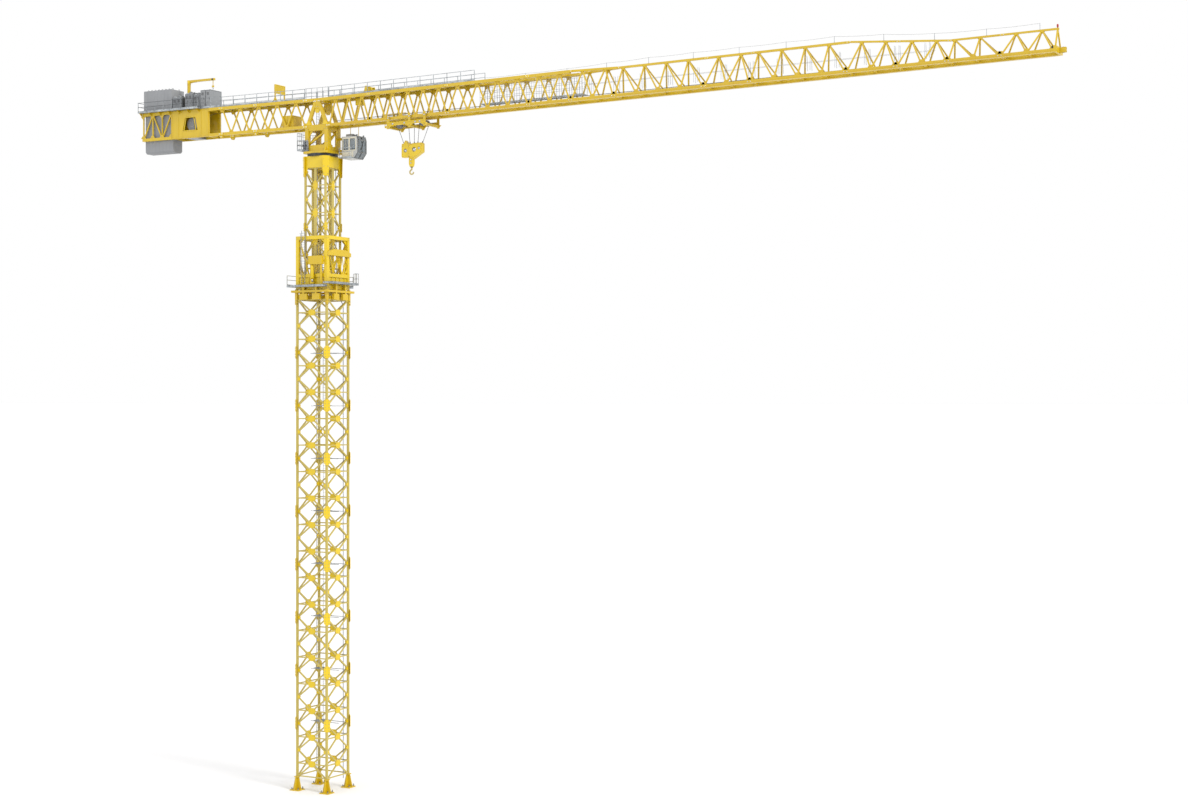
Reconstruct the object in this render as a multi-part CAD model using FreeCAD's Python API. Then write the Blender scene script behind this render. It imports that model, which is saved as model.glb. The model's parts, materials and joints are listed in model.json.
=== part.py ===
import FreeCAD, Part
import math
import os

# Flat-top tower crane on a fixed mast with a climbing inner mast, a tenth of its real size.
# Millimetres.  +Z is up, +X runs out along the jib, +Y is the cab's side.
# The origin is on the ground, on the slewing axis, midway between the four feet.

V = FreeCAD.Vector
X_AXIS = V(1, 0, 0)
Y_AXIS = V(0, 1, 0)
Z_AXIS = V(0, 0, 1)

# Feet and anchor bolts
FOOT_HEIGHT = 155.0
FOOT_BASE = 117.0
FOOT_HEAD = 50.0
FOOT_PLATE = 12.0
FOOT_HEAD_PLATE = 10.0
FOOT_RIB = 8.0
ANCHOR_OFFSET = 42.0
ANCHOR_HOLE = 9.0

# Outer mast
MAST_PITCH = 400.0
MAST_LEG = 21.0
MAST_SECTION = 585.0
MAST_SECTIONS = 9
MAST_PANELS_PER_SECTION = 2
MAST_DIAGONAL = 15.0
MAST_HORIZONTAL = 12.0
MAST_EDGE = 6.0
MAST_BRACE_THICKNESS = 12.0

# Inner mast
INNER_PITCH = 272.0
INNER_LEG = 19.0
INNER_HEIGHT = 1419.0
INNER_PANEL = 304.5
INNER_PANELS = 4
INNER_TOP_STRIP = 43.0
INNER_DIAGONAL = 13.0
INNER_HORIZONTAL = 10.0
INNER_EDGE = 5.0
INNER_RAIL = 33.0
INNER_BRACE_THICKNESS = 10.0
SUPPORT_BEAM_WIDTH = 40.0
SUPPORT_BEAM_DEPTH = 35.0

# Climbing frame round the inner mast
CAGE_STANDOFF = 111.0
CAGE_HEIGHT = 585.0
CAGE_POST = 40.0
CAGE_BEAM = 38.0
CAGE_MID_BEAM = 130.0
CAGE_BRACE = 16.0
SHOE_WALL = 8.0
SHOE_LAP = 60.0
GUIDE_WIDTH = 36.0
ARCH_RISE = 367.0
ARCH_DEPTH = 72.0
ARCH_FOOT_DEPTH = 39.6
ARCH_THICKNESS = 20.0
JACK_RISE = 267.0
JACK_HEIGHT = 94.0
JACK_START = -11.0
JACK_LENGTH = 180.0
JACK_DEPTH = 44.0
JACK_ROD = 24.0
BRACKET_LENGTH = 100.0
BRACKET_DEPTH = 30.0
BRACKET_HEIGHT = 66.0
BRACKET_RISE = -6.0
BRACKET_OFFSET = 85.0
BRACKET_STRAP = 22.0
BRACKET_GAP = 1.0
BRACKET_BEAM_RISE = 74.0
BRACKET_BEAM = 24.0

# Working platform round the climbing frame
PLATFORM_RISE = 22.0
PLATFORM_STEP = 33.0
PLATFORM_THICKNESS = 20.0
PLATFORM_WALKWAY = 72.0

# Hand rails
RAIL_HEIGHT = 110.0
RAIL_BAR = 5.0
RAIL_POST = 5.0
RAIL_BAY = 170.0
RAIL_THICKNESS = 5.0
TOE_BOARD = 12.0

# Slewing assembly
RING_BOX_WALL = 5.0
RING_BOX_HEIGHT = 128.0
HORN_HEIGHT = 98.0
HORN_WIDTH = 60.0
RING_DIAMETER = 340.0
RING_BORE = 240.0
RING_HEIGHT = 30.0
RING_GAP = 0.3
TURNTABLE_PLATE = 24.0
TURNTABLE_LENGTH = 330.0
TURNTABLE_WIDTH = 316.0
TURNTABLE_CORNER = 30.0
TURNTABLE_WALL = 12.0
TURNTABLE_WALL_HEIGHT = 69.0
TURNTABLE_OPENING = 60.0
DRIVE_DIAMETER = 30.0
DRIVE_HEIGHT = 126.0
DRIVE_BASE = 36.0
DRIVE_SPACING = 38.0

# Tower head
HEAD_COLUMN = 45.0
HEAD_LENGTH = 262.0
HEAD_HEIGHT = 285.0
HEAD_BEAM = 32.0
HEAD_BRACE = 18.0
HEAD_LEG = 36.0
HEAD_LEG_THICKNESS = 28.8
APEX_LENGTH = 95.0
APEX_HEIGHT = 110.0
APEX_THICKNESS = 24.0

# Jib and counter-jib truss
CHORD_PITCH = 200.0
CHORD_WIDTH = 30.0
CHORD_HEIGHT = 33.0
RUNWAY_WIDTH = 12.0
RUNWAY_THICKNESS = 5.0
JIB_PITCH = 1.0
JIB_HEIGHT = 325.0
JIB_TIP_HEIGHT = 235.0
TAPER_START = 6200.0
TAPER_END = 7200.0
SPREAD_END = 3200.0
MERGE_END = 3700.0
SINGLE_CHORD = 22.0
TIP_CHORD = 18.0
JIB_DIAGONAL = 13.0
JIB_CROSS = 10.0
NODE_INSET = 9.0
JOINT_GAP = 0.2
# Each jib section: where it ends, its bay length, and how far each top node leads.
JIB_ROOT_END = 700.0
JIB_NODES = (
    ("jib_section_1", ((JIB_ROOT_END, 182.0, 91.0), (1700.0, 200.0, 100.0))),
    ("jib_section_2", ((2700.0, 250.0, 125.0), (3200.0, 250.0, 125.0))),
    ("jib_section_3", ((3700.0, 250.0, 125.0), (4700.0, 250.0, 50.0))),
    ("jib_section_4", ((5200.0, 250.0, 125.0), (6200.0, 250.0, 50.0))),
    ("jib_section_5", ((6700.0, 250.0, 125.0), (7200.0, 250.0, 125.0))),
    ("jib_section_6", ((7700.0, 250.0, 40.0), (8200.0, 250.0, 125.0))),
)
TIP_LENGTH = 90.0
TIP_BEAM = 26.0
TIP_DEPTH = 60.0
TIP_CHEEK_INSET = 6.0
TIP_SHAFT_LENGTH = 25.0
TIP_SHEAVE = 56.0

# Jib walkway
WALKWAY_START = 165.0
WALKWAY_END = 2050.0
WALKWAY_THICKNESS = 5.0
WALKWAY_WIDTH = 220.0

# Counter-jib
COUNTER_TRUSS_END = 1340.0
COUNTER_BAY = 260.0
COUNTER_WEB_END = 1210.0
OPEN_BAY_END = 1519.0
WINCH_BAY_END = 2060.0
COUNTER_END = 2496.0
SIDE_PLATE = 24.0
WINDOW_START = 1680.0
WINDOW_END = 1897.0
WINDOW_HEIGHT = 150.0
WINDOW_SLOPE = 35.0
REAR_BAYS = 3
CROSS_BEAM = 11.2
DECK_THICKNESS = 12.0
DECK_END = 2522.0
DECK_WIDTH = 334.0
DECK_NARROW = 236.0
DECK_STEP = 1630.0

# Counterweights
SLAB_COUNT = 8
SLAB_PITCH = 51.5
SLAB_GAP = 0.6
SLAB_WIDTH = 160.0
SLAB_SHOULDER = 30.0
SLAB_DROP = 143.0
SLAB_HEIGHT = 726.0
SLAB_CORNER = 22.0
SLAB_CLEARANCE = 5.6
SLOT_CLEARANCE = 2.0

# Winch and deck machinery
DRUM_DIAMETER = 118.0
DRUM_LENGTH = 130.0
DRUM_FLANGE = 150.0
DRUM_FLANGE_THICKNESS = 6.0
DRUM_SHAFT = 22.0
WINCH_BASE = 12.0
WINCH_STAND = 8.0
CABINET_HEIGHT = 200.0
CABINET_START = 1500.0
CABINET_LENGTH = 72.0
CABINET_WIDTH = 200.0
CABINET_GAP = 6.0
# Each machine housing: how far behind the slewing axis it starts, its length, width and height.
MACHINE_HOUSINGS = (
    (1656.0, 100.0, 190.0, 188.0), (1762.0, 112.0, 206.0, 206.0), (1922.0, 132.0, 214.0, 176.0)
)

# Service davit
DAVIT_X = -1898.0
DAVIT_Y = 0.0
DAVIT_POST = 40.0
DAVIT_HEIGHT = 346.0
DAVIT_HEAD = 40.0
DAVIT_PIN = 14.0
DAVIT_ARM = 376.0
DAVIT_BEAM = 24.0
DAVIT_TACKLE = 72.0
DAVIT_HOOK = 20.0
DAVIT_GAP = 0.3

# Sign board portal on the counter-jib
PORTAL_X = -594.0
PORTAL_WIDTH = 180.0
PORTAL_HEIGHT = 199.0
PORTAL_BOARD = 100.0
PORTAL_THICKNESS = 12.0

# Head platform at the back of the tower head
HEAD_PLATFORM_LENGTH = 120.0
HEAD_PLATFORM_WIDTH = 220.0
HEAD_PLATFORM_RISE = 20.0
HEAD_PLATFORM_THICKNESS = 6.0

# Cab
CAB_BACK = 245.0
CAB_LENGTH = 210.0
CAB_SIDE = 15.0
CAB_WIDTH = 175.0
CAB_BOTTOM = 6972.0
CAB_HEIGHT = 243.0
CAB_WALL = 6.0
CAB_PANE_MARGIN = 1.5
CAB_SILL = 87.5
CAB_ROD_SHARES = (0.3, 0.85)
CAB_GLASS = 2.0
CAB_NOSE = 62.0
CAB_NOSE_SETBACK = 48.0
CAB_BROW = 40.0
CAB_BROW_SETBACK = 14.0
CAB_PILLAR = 9.0
CAB_WALKWAY = 52.0
CAB_BEAM = 26.0
CAB_ROD = 6.0

# Trolley
TROLLEY_X = 1195.0
TROLLEY_LENGTH = 500.0
TROLLEY_PLATE = 6.0
TROLLEY_SIDE_CLEARANCE = 6.0
TROLLEY_DROP = 100.0
TROLLEY_RAIL_LOW = 66.0
TROLLEY_RAIL_HIGH = 30.0
TROLLEY_LEG = 30.0
# Legs of each cheek: place from the trolley's middle, and how high each rises over the chord's foot.
TROLLEY_LEGS = ((-231.0, 32.0), (41.0, 56.0), (235.0, 56.0))
TROLLEY_BEAM = 26.0
WHEEL_DIAMETER = 26.0
WHEEL_GAP = 0.3
WHEEL_CHORD_CLEARANCE = 2.0
SHEAVE_WIDTH = 10.0
SHEAVE_SHAFT = 10.0
SHEAVE_LEVEL = 48.0
# Rope sheaves: place from the trolley's middle, and diameter.
TROLLEY_SHEAVES = ((-171.0, 66.0), (-19.0, 52.0), (120.0, 50.0), (176.0, 50.0))
SHEAVE_TRACK = 14.0
BASKET_LENGTH = 270.0
BASKET_START = -463.0
BASKET_WIDTH = 66.0
BASKET_HEIGHT = 150.0
BASKET_WALL = 5.0
BASKET_BAYS = 4

# Hook block, ropes and hook
BLOCK_TOP = 7082.0
BLOCK_LENGTH = 262.0
BLOCK_HEIGHT = 151.0
BLOCK_SMALL_LENGTH = 96.0
BLOCK_SMALL_THICKNESS = 44.0
BLOCK_LARGE_THICKNESS = 58.0
BLOCK_PEAK = 35.0
BLOCK_SHOULDER = 18.0
BLOCK_CUT = 101.0
BLOCK_CUT_LENGTH = 80.8
HANGER_OFFSET = -15.0
HANGER_WIDTH = 54.0
HANGER_FOOT = 36.0
HANGER_THICKNESS = 34.0
HANGER_DROP = 100.0
HANGER_NECK = 32.0
HOOK_SHANK = 18.0
HOOK_SHANK_DEPTH = 30.0
HOOK_COLLAR = 28.0
HOOK_COLLAR_HEIGHT = 8.0
HOOK_DROP = 34.0
HOOK_RADIUS = 24.0
HOOK_BAR = 16.0
HOOK_SWEEP = 250.0
HOOK_GAP = 0.3
ROPE_DIAMETER = 5.0
ROPE_GAP = 1.0
ROPE_SHEAVE_GAP = 0.3
ROPE_LUG = 12.0
# Rope falls: which trolley sheave, which side of it, and the place on the block from its middle.
ROPE_FALLS = ((0, -1, -124.0), (1, -1, -28.0), (1, 1, 8.0), (2, -1, 74.0), (3, 1, 116.0))

# Worked out from the sizes above
MAST_TOP = FOOT_HEIGHT + MAST_SECTIONS * MAST_SECTION
MAST_OUTER = (MAST_PITCH + MAST_LEG) / 2
INNER_BOTTOM = MAST_TOP + SUPPORT_BEAM_DEPTH
INNER_TOP = INNER_BOTTOM + INNER_HEIGHT
INNER_OUTER = (INNER_PITCH + INNER_LEG) / 2
CAGE_OUTER = MAST_OUTER + 1.0
CAGE_BOTTOM = MAST_TOP + CAGE_STANDOFF
RING_BOX_HALF = INNER_OUTER + RING_BOX_WALL
RING_BOTTOM = INNER_TOP + RING_BOX_HEIGHT
RING_TOP = RING_BOTTOM + RING_HEIGHT
TABLE_TOP = RING_TOP + TURNTABLE_PLATE
HEAD_PITCH_X = HEAD_LENGTH / 2
HEAD_HALF = (HEAD_LENGTH + HEAD_COLUMN) / 2
CHORD_BOTTOM = RING_TOP + HEAD_HEIGHT
CHORD_Y = CHORD_PITCH / 2
CHORD_OUTER = CHORD_Y + CHORD_WIDTH / 2
RUNWAY_OUTER = CHORD_OUTER + RUNWAY_WIDTH
TRUSS_TOP = CHORD_BOTTOM + JIB_HEIGHT
DECK_TOP = TRUSS_TOP + DECK_THICKNESS
JIB_END = JIB_NODES[-1][1][-1][0]
TROLLEY_Y = RUNWAY_OUTER + TROLLEY_SIDE_CLEARANCE
PITCH_SIN = math.sin(math.radians(JIB_PITCH))
PITCH_COS = math.cos(math.radians(JIB_PITCH))
BLOCK_BOTTOM = BLOCK_TOP - BLOCK_HEIGHT


def block(x0, x1, y0, y1, z0, z1):
    """Box between two corners."""
    return Part.makeBox(x1 - x0, y1 - y0, z1 - z0, V(x0, y0, z0))


def centred(x, y, z0, length, width, height):
    """Box on a middle point in plan, standing on z0."""
    return block(x - length / 2, x + length / 2, y - width / 2, y + width / 2, z0, z0 + height)


def rod(start, end, diameter):
    """Round bar from start to end."""
    run = end.sub(start)
    return Part.makeCylinder(diameter / 2, run.Length, start, run)


def prism(points, run):
    """Solid from a closed outline of points, pushed along run."""
    return Part.Face(Part.makePolygon(points + [points[0]])).extrude(run)


def bar(start, end, width, depth, up=Z_AXIS):
    """Square-cornered bar from start to end, depth measured towards up."""
    run = end.sub(start)
    side = run.cross(up)
    side.normalize()
    top = side.cross(run)
    top.normalize()
    side = side.multiply(width / 2)
    top = top.multiply(depth / 2)
    corners = [start + side + top, start - side + top, start - side - top, start + side - top]
    return prism(corners, run)


def joined(shapes):
    """One solid from shapes that touch or cross."""
    return shapes[0].multiFuse(shapes[1:]).removeSplitter()


def ring_of_four(make):
    """The same solid in all four corners, from a function of the two signs."""
    return [make(sx, sy) for sx in (-1, 1) for sy in (-1, 1)]


def inset(points, gaps):
    """Corners of a counter-clockwise outline after each side moves inwards by its own gap."""
    lines = []
    for index, (ax, ay) in enumerate(points):
        bx, by = points[(index + 1) % len(points)]
        length = math.hypot(bx - ax, by - ay)
        nx = -(by - ay) / length
        ny = (bx - ax) / length
        lines.append((nx, ny, nx * ax + ny * ay + gaps[index]))
    corners = []
    for index, (nx, ny, c) in enumerate(lines):
        px, py, d = lines[index - 1]
        det = px * ny - py * nx
        corners.append(((d * ny - c * py) / det, (c * px - d * nx) / det))
    return corners


def mirrored(points, gaps):
    """The same opening on the other side of the centre line, still counter-clockwise."""
    count = len(points)
    flipped = [(-x, y) for x, y in reversed(points)]
    return flipped, [gaps[(count - 2 - index) % count] for index in range(count)]


def lattice(outline, openings, thickness, origin, across, upward):
    """Flat plate with polygon openings, its middle plane through origin."""
    normal = across.cross(upward)
    base = origin - normal * (thickness / 2)

    def wire(points):
        corners = [base + across * a + upward * b for a, b in points]
        return Part.makePolygon(corners + [corners[0]])

    wires = [wire(outline)] + [wire(opening) for opening in openings]
    return Part.makeFace(wires, "Part::FaceMakerBullseye").extrude(normal * thickness)


def rectangle(a0, a1, b0, b1):
    """Counter-clockwise corners of a rectangle."""
    return [(a0, b0), (a1, b0), (a1, b1), (a0, b1)]


def braced_openings(half, nodes, low, high, sizes):
    """Openings of a face braced by crosses between leg nodes, from low to high."""
    diagonal, horizontal, edge, rail = sizes
    shapes = []
    middles = [(a + b) / 2 for a, b in zip(nodes, nodes[1:])]
    for z0, zc, z1 in zip(nodes, middles, nodes[1:]):
        shapes.append(([(-half, z0), (0, zc), (-half, zc)], [diagonal / 2, horizontal / 2, edge]))
        shapes.append(([(-half, zc), (0, zc), (-half, z1)], [horizontal / 2, diagonal / 2, edge]))
    if rail:
        for z, below, above in zip(nodes[1:-1], middles, middles[1:]):
            shapes.append(([(-half, z), (0, below), (0, above)], [diagonal / 2, rail / 2, diagonal / 2]))
        foot = [(-half, low), (0, low), (0, middles[0]), (-half, nodes[0])]
        shapes.append((foot, [horizontal, rail / 2, diagonal / 2, edge]))
        head = [(-half, nodes[-1]), (0, middles[-1]), (0, high), (-half, high)]
        shapes.append((head, [diagonal / 2, rail / 2, horizontal, edge]))
    both = shapes + [mirrored(*shape) for shape in shapes]
    if not rail:
        for z, below, above in zip(nodes[1:-1], middles, middles[1:]):
            both.append(([(-half, z), (0, below), (half, z), (0, above)], [diagonal / 2] * 4))
        both.append(([(-half, low), (half, low), (0, middles[0])], [horizontal, diagonal / 2, diagonal / 2]))
        both.append(
            ([(-half, high), (0, middles[-1]), (half, high)], [diagonal / 2, diagonal / 2, horizontal])
        )
    return [inset(points, gaps) for points, gaps in both]


def mast_faces(name, pitch, leg, thickness, nodes, low, high, sizes):
    """The four braced faces of a mast, each between the inner faces of its two legs."""
    half = (pitch - leg) / 2
    openings = braced_openings(half, nodes, low, high, sizes)
    outline = rectangle(-half, half, low, high)
    sides = {"front": (X_AXIS, Y_AXIS), "rear": (-X_AXIS, -Y_AXIS), "left": (Y_AXIS, -X_AXIS), "right": (-Y_AXIS, X_AXIS)}
    faces = {}
    for side, (outward, across) in sides.items():
        faces[name + "_" + side] = lattice(
            outline, openings, thickness, outward * (pitch / 2), across, Z_AXIS
        )
    return faces


def mast_legs(pitch, leg, low, high):
    """Four square legs."""
    return ring_of_four(lambda sx, sy: centred(sx * pitch / 2, sy * pitch / 2, low, leg, leg, high - low))


def railing(start, end, base):
    """Hand rail panel between two points in plan, standing on base."""
    run = end.sub(start)
    length = run.Length
    across = V(run)
    across.normalize()
    bays = max(1, round(length / RAIL_BAY))
    bay = (length - RAIL_POST) / bays
    middle = (RAIL_HEIGHT + TOE_BOARD) / 2
    openings = []
    for index in range(bays):
        a0 = index * bay + RAIL_POST
        a1 = (index + 1) * bay
        openings.append(rectangle(a0, a1, TOE_BOARD, middle - RAIL_BAR / 2))
        openings.append(rectangle(a0, a1, middle + RAIL_BAR / 2, RAIL_HEIGHT - RAIL_BAR))
    outline = rectangle(0, length, 0, RAIL_HEIGHT)
    return lattice(outline, openings, RAIL_THICKNESS, start + Z_AXIS * base, across, Z_AXIS)


def anchor_feet():
    """Base plates with anchor holes, each with a cross of tapered ribs under a head plate."""
    def foot(sx, sy):
        x = sx * MAST_PITCH / 2
        y = sy * MAST_PITCH / 2
        head_bottom = FOOT_HEIGHT - FOOT_HEAD_PLATE
        pieces = [
            centred(x, y, 0, FOOT_BASE, FOOT_BASE, FOOT_PLATE),
            centred(x, y, head_bottom, FOOT_HEAD, FOOT_HEAD, FOOT_HEAD_PLATE),
            centred(x, y, FOOT_PLATE, MAST_LEG, MAST_LEG, head_bottom - FOOT_PLATE),
        ]
        for along, across in ((X_AXIS, Y_AXIS), (Y_AXIS, X_AXIS)):
            base = V(x, y, 0) - across * (FOOT_RIB / 2)
            low = FOOT_BASE / 2 - 3
            high = FOOT_HEAD / 2
            profile = [
                base - along * low + Z_AXIS * FOOT_PLATE,
                base + along * low + Z_AXIS * FOOT_PLATE,
                base + along * high + Z_AXIS * head_bottom,
                base - along * high + Z_AXIS * head_bottom,
            ]
            pieces.append(prism(profile, across * FOOT_RIB))
        solid = joined(pieces)
        holes = []
        for ox in (-1, 1):
            for oy in (-1, 1):
                place = V(x + ox * ANCHOR_OFFSET, y + oy * ANCHOR_OFFSET, -1)
                holes.append(Part.makeCylinder(ANCHOR_HOLE / 2, FOOT_PLATE + 2, place, Z_AXIS))
        return solid.cut(holes)

    return ring_of_four(foot)


def square_ring(half, width, low, high):
    """Square frame lying flat, outer half side given."""
    outer = block(-half, half, -half, half, low, high)
    return outer.cut(block(width - half, half - width, width - half, half - width, low - 1, high + 1))


def climbing_shoes():
    """Blocks that carry the climbing frame on the leg tops, lapping the legs outside."""
    def shoe(sx, sy):
        x = sx * MAST_PITCH / 2
        y = sy * MAST_PITCH / 2
        pieces = [centred(x, y, MAST_TOP, MAST_LEG, MAST_LEG, CAGE_STANDOFF)]
        reach = MAST_LEG / 2 + SHOE_WALL / 2
        width = MAST_LEG + SHOE_WALL
        height = CAGE_STANDOFF + SHOE_LAP
        low = MAST_TOP - SHOE_LAP
        pieces.append(centred(x + sx * reach, y + sy * SHOE_WALL / 2, low, SHOE_WALL, width, height))
        pieces.append(centred(x + sx * SHOE_WALL / 2, y + sy * reach, low, width, SHOE_WALL, height))
        return joined(pieces)

    return ring_of_four(shoe)


def support_beams():
    """Two beams on the outer mast's top that the inner mast's legs stand on."""
    half = (MAST_PITCH + MAST_BRACE_THICKNESS) / 2
    beams = []
    for sy in (-1, 1):
        y = sy * INNER_PITCH / 2
        beams.append(centred(0, y, MAST_TOP, 2 * half, SUPPORT_BEAM_WIDTH, SUPPORT_BEAM_DEPTH))
    return beams


def climbing_frame():
    """Cage of four posts, four rings of beams, braces and the guides to the inner mast."""
    low = CAGE_BOTTOM
    high = CAGE_BOTTOM + CAGE_HEIGHT
    post = CAGE_OUTER - CAGE_POST / 2
    pieces = ring_of_four(
        lambda sx, sy: centred(sx * post, sy * post, low, CAGE_POST, CAGE_POST, CAGE_HEIGHT)
    )
    mid = low + CAGE_MID_BEAM
    for level in (low, mid, high - CAGE_BEAM):
        pieces.append(square_ring(CAGE_OUTER, CAGE_POST, level, level + CAGE_BEAM))
    arch_bottom = low + ARCH_RISE
    jack_top = low + JACK_RISE + JACK_HEIGHT
    top = high - CAGE_BEAM / 2
    for sign in (-1, 1):
        foot = V(sign * post / 2, sign * post, jack_top - CAGE_BEAM)
        crown = V(sign * post, sign * post, top)
        pieces.append(bar(foot, crown, CAGE_BRACE, CAGE_BRACE, Y_AXIS))
        knee = V(sign * post, sign * post / 2, mid + CAGE_BEAM / 2)
        for share in (0.0, 1.0):
            pieces.append(
                bar(knee, V(sign * post, sign * post * share, arch_bottom), CAGE_BRACE, CAGE_BRACE, X_AXIS)
            )
        side = V(sign * post / 2, sign * post, jack_top - CAGE_BEAM)
        pieces.append(
            bar(V(sign * post / 4, sign * post, mid + CAGE_BEAM / 2), side, CAGE_BRACE, CAGE_BRACE, Y_AXIS)
        )
        lintel = centred(sign * post, 0, arch_bottom, CAGE_BRACE, 2 * post, CAGE_BRACE)
        pieces.append(lintel)
    return joined(pieces)


def climbing_guides():
    """Guide blocks between the cage and the inner mast's legs, at three levels."""
    inner = CAGE_OUTER - CAGE_POST
    length = inner - INNER_OUTER
    blocks = []
    for level in (CAGE_BOTTOM, CAGE_BOTTOM + CAGE_HEIGHT - CAGE_BEAM):
        for sx in (-1, 1):
            for sy in (-1, 1):
                y = sy * INNER_PITCH / 2
                x = sx * (INNER_OUTER + length / 2)
                blocks.append(centred(x, y, level, length, GUIDE_WIDTH, CAGE_BEAM))
    return blocks


def climbing_gear():
    """Arched beam on the front of the cage, and the jack housing with its rods on the right."""
    half = CAGE_OUTER
    low = CAGE_BOTTOM + ARCH_RISE
    foot = ARCH_FOOT_DEPTH
    crown = ARCH_DEPTH
    rise = [(-half, 0), (-half, foot), (-half / 2, crown), (half / 2, crown), (half, foot), (half, 0)]
    arch = prism([V(half, y, low + z) for y, z in rise], X_AXIS * ARCH_THICKNESS)
    low = CAGE_BOTTOM + JACK_RISE
    outer = -half - JACK_DEPTH
    end = JACK_START + JACK_LENGTH
    pieces = [block(JACK_START, end, outer, -half, low, low + JACK_HEIGHT)]
    bottom = CAGE_BOTTOM + PLATFORM_RISE + PLATFORM_THICKNESS
    for x in (JACK_START + JACK_ROD, end - JACK_ROD):
        y = -half - JACK_DEPTH / 2
        pieces.append(rod(V(x, y, bottom), V(x, y, low), JACK_ROD))
    return [arch, joined(pieces)]


def climbing_brackets():
    """Beams round the mast's top panel, hung from the platform, with two guide boxes on each side."""
    low = MAST_TOP + BRACKET_RISE
    high = low + BRACKET_HEIGHT
    near = MAST_OUTER + SHOE_WALL + BRACKET_GAP
    boxes = []
    for quarter in range(4):
        top = CAGE_BOTTOM + PLATFORM_RISE + (PLATFORM_STEP if quarter == 0 else 0)
        for sign in (-1, 1):
            y = sign * BRACKET_OFFSET
            case = centred(near + BRACKET_DEPTH / 2, y, low, BRACKET_DEPTH, BRACKET_LENGTH, high - low)
            strap = centred(near + BRACKET_DEPTH / 2, y, high, BRACKET_DEPTH, BRACKET_STRAP, top - high)
            box = joined([case, strap])
            box.rotate(V(0, 0, 0), Z_AXIS, 90 * quarter)
            boxes.append(box)
    beam = MAST_TOP + BRACKET_BEAM_RISE
    boxes.append(square_ring(near + BRACKET_DEPTH, BRACKET_DEPTH, beam, beam + BRACKET_BEAM))
    return joined(boxes)


def climbing_platform():
    """Walkway round the cage: three sides in one, the front side a step higher."""
    inner = CAGE_OUTER
    outer = inner + PLATFORM_WALKWAY
    low = CAGE_BOTTOM + PLATFORM_RISE
    high = low + PLATFORM_THICKNESS
    three = [
        block(-outer, inner, -outer, -inner, low, high),
        block(-outer, inner, inner, outer, low, high),
        block(-outer, -inner, -inner, inner, low, high),
    ]
    front = block(inner, outer, -outer, outer, low + PLATFORM_STEP, high + PLATFORM_STEP)
    return [joined(three), front]


def climbing_railing():
    """Hand rails on the platform's rear and left outer edges."""
    inner = CAGE_OUTER
    edge = inner + PLATFORM_WALKWAY - RAIL_THICKNESS / 2
    low = CAGE_BOTTOM + PLATFORM_RISE + PLATFORM_THICKNESS
    return [
        railing(V(-edge, edge, 0), V(inner, edge, 0), low),
        railing(V(-edge, -edge, 0), V(-edge, edge - RAIL_THICKNESS, 0), low),
    ]


def ring_support():
    """Box under the slewing ring, with tapered horns down the outside of the inner legs."""
    half = RING_BOX_HALF
    pieces = [block(-half, half, -half, half, INNER_TOP, RING_BOTTOM)]
    for sx in (-1, 1):
        for sy in (-1, 1):
            for along, across in ((X_AXIS * sx, Y_AXIS * sy), (Y_AXIS * sy, X_AXIS * sx)):
                corner = across * INNER_OUTER + along * half + Z_AXIS * INNER_TOP
                tip = INNER_LEG + RING_BOX_WALL
                profile = [
                    corner,
                    corner - along * HORN_WIDTH,
                    corner - along * tip - Z_AXIS * HORN_HEIGHT,
                    corner - Z_AXIS * HORN_HEIGHT,
                ]
                pieces.append(prism(profile, across * RING_BOX_WALL))
    return joined(pieces)


def annulus(radius, bore, low, high):
    """Flat ring on the slewing axis."""
    ring = Part.makeCylinder(radius, high - low, V(0, 0, low), Z_AXIS)
    return ring.cut(Part.makeCylinder(bore, high - low + 2, V(0, 0, low - 1), Z_AXIS))


def slewing_ring_fixed():
    """Lower race of the slewing bearing."""
    middle = (RING_BOTTOM + RING_TOP) / 2
    return annulus(RING_DIAMETER / 2, RING_BORE / 2, RING_BOTTOM, middle - RING_GAP / 2)


def slewing_ring_turning():
    """Upper race of the slewing bearing."""
    middle = (RING_BOTTOM + RING_TOP) / 2
    return annulus(RING_DIAMETER / 2, RING_BORE / 2, middle + RING_GAP / 2, RING_TOP)


def turntable():
    """Base plate with walls between the head's columns, and a round-bottomed front opening."""
    plate = centred(0, 0, RING_TOP, TURNTABLE_LENGTH, TURNTABLE_WIDTH, TURNTABLE_PLATE)
    upright = [edge for edge in plate.Edges if abs(edge.tangentAt(edge.FirstParameter).z) > 0.99]
    plate = plate.makeFillet(TURNTABLE_CORNER, upright)
    side_y = CHORD_Y + HEAD_COLUMN / 2
    between_x = HEAD_LENGTH - HEAD_COLUMN
    between_y = CHORD_PITCH - HEAD_COLUMN
    pieces = [plate]
    for sign in (-1, 1):
        y = sign * (side_y - TURNTABLE_WALL / 2)
        pieces.append(centred(0, y, TABLE_TOP, between_x, TURNTABLE_WALL, TURNTABLE_WALL_HEIGHT))
        x = sign * (HEAD_HALF - TURNTABLE_WALL / 2)
        wall = centred(x, 0, TABLE_TOP, TURNTABLE_WALL, between_y, TURNTABLE_WALL_HEIGHT)
        radius = TURNTABLE_OPENING / 2
        bottom = TABLE_TOP + TURNTABLE_WALL_HEIGHT / 3 + radius
        start = V(x - TURNTABLE_WALL, 0, bottom)
        drill = Part.makeCylinder(radius, 2 * TURNTABLE_WALL, start, X_AXIS)
        slot = block(
            x - TURNTABLE_WALL, x + TURNTABLE_WALL, -radius, radius, bottom, bottom + TURNTABLE_WALL_HEIGHT
        )
        pieces.append(wall.cut([drill, slot]))
    return joined(pieces)


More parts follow.
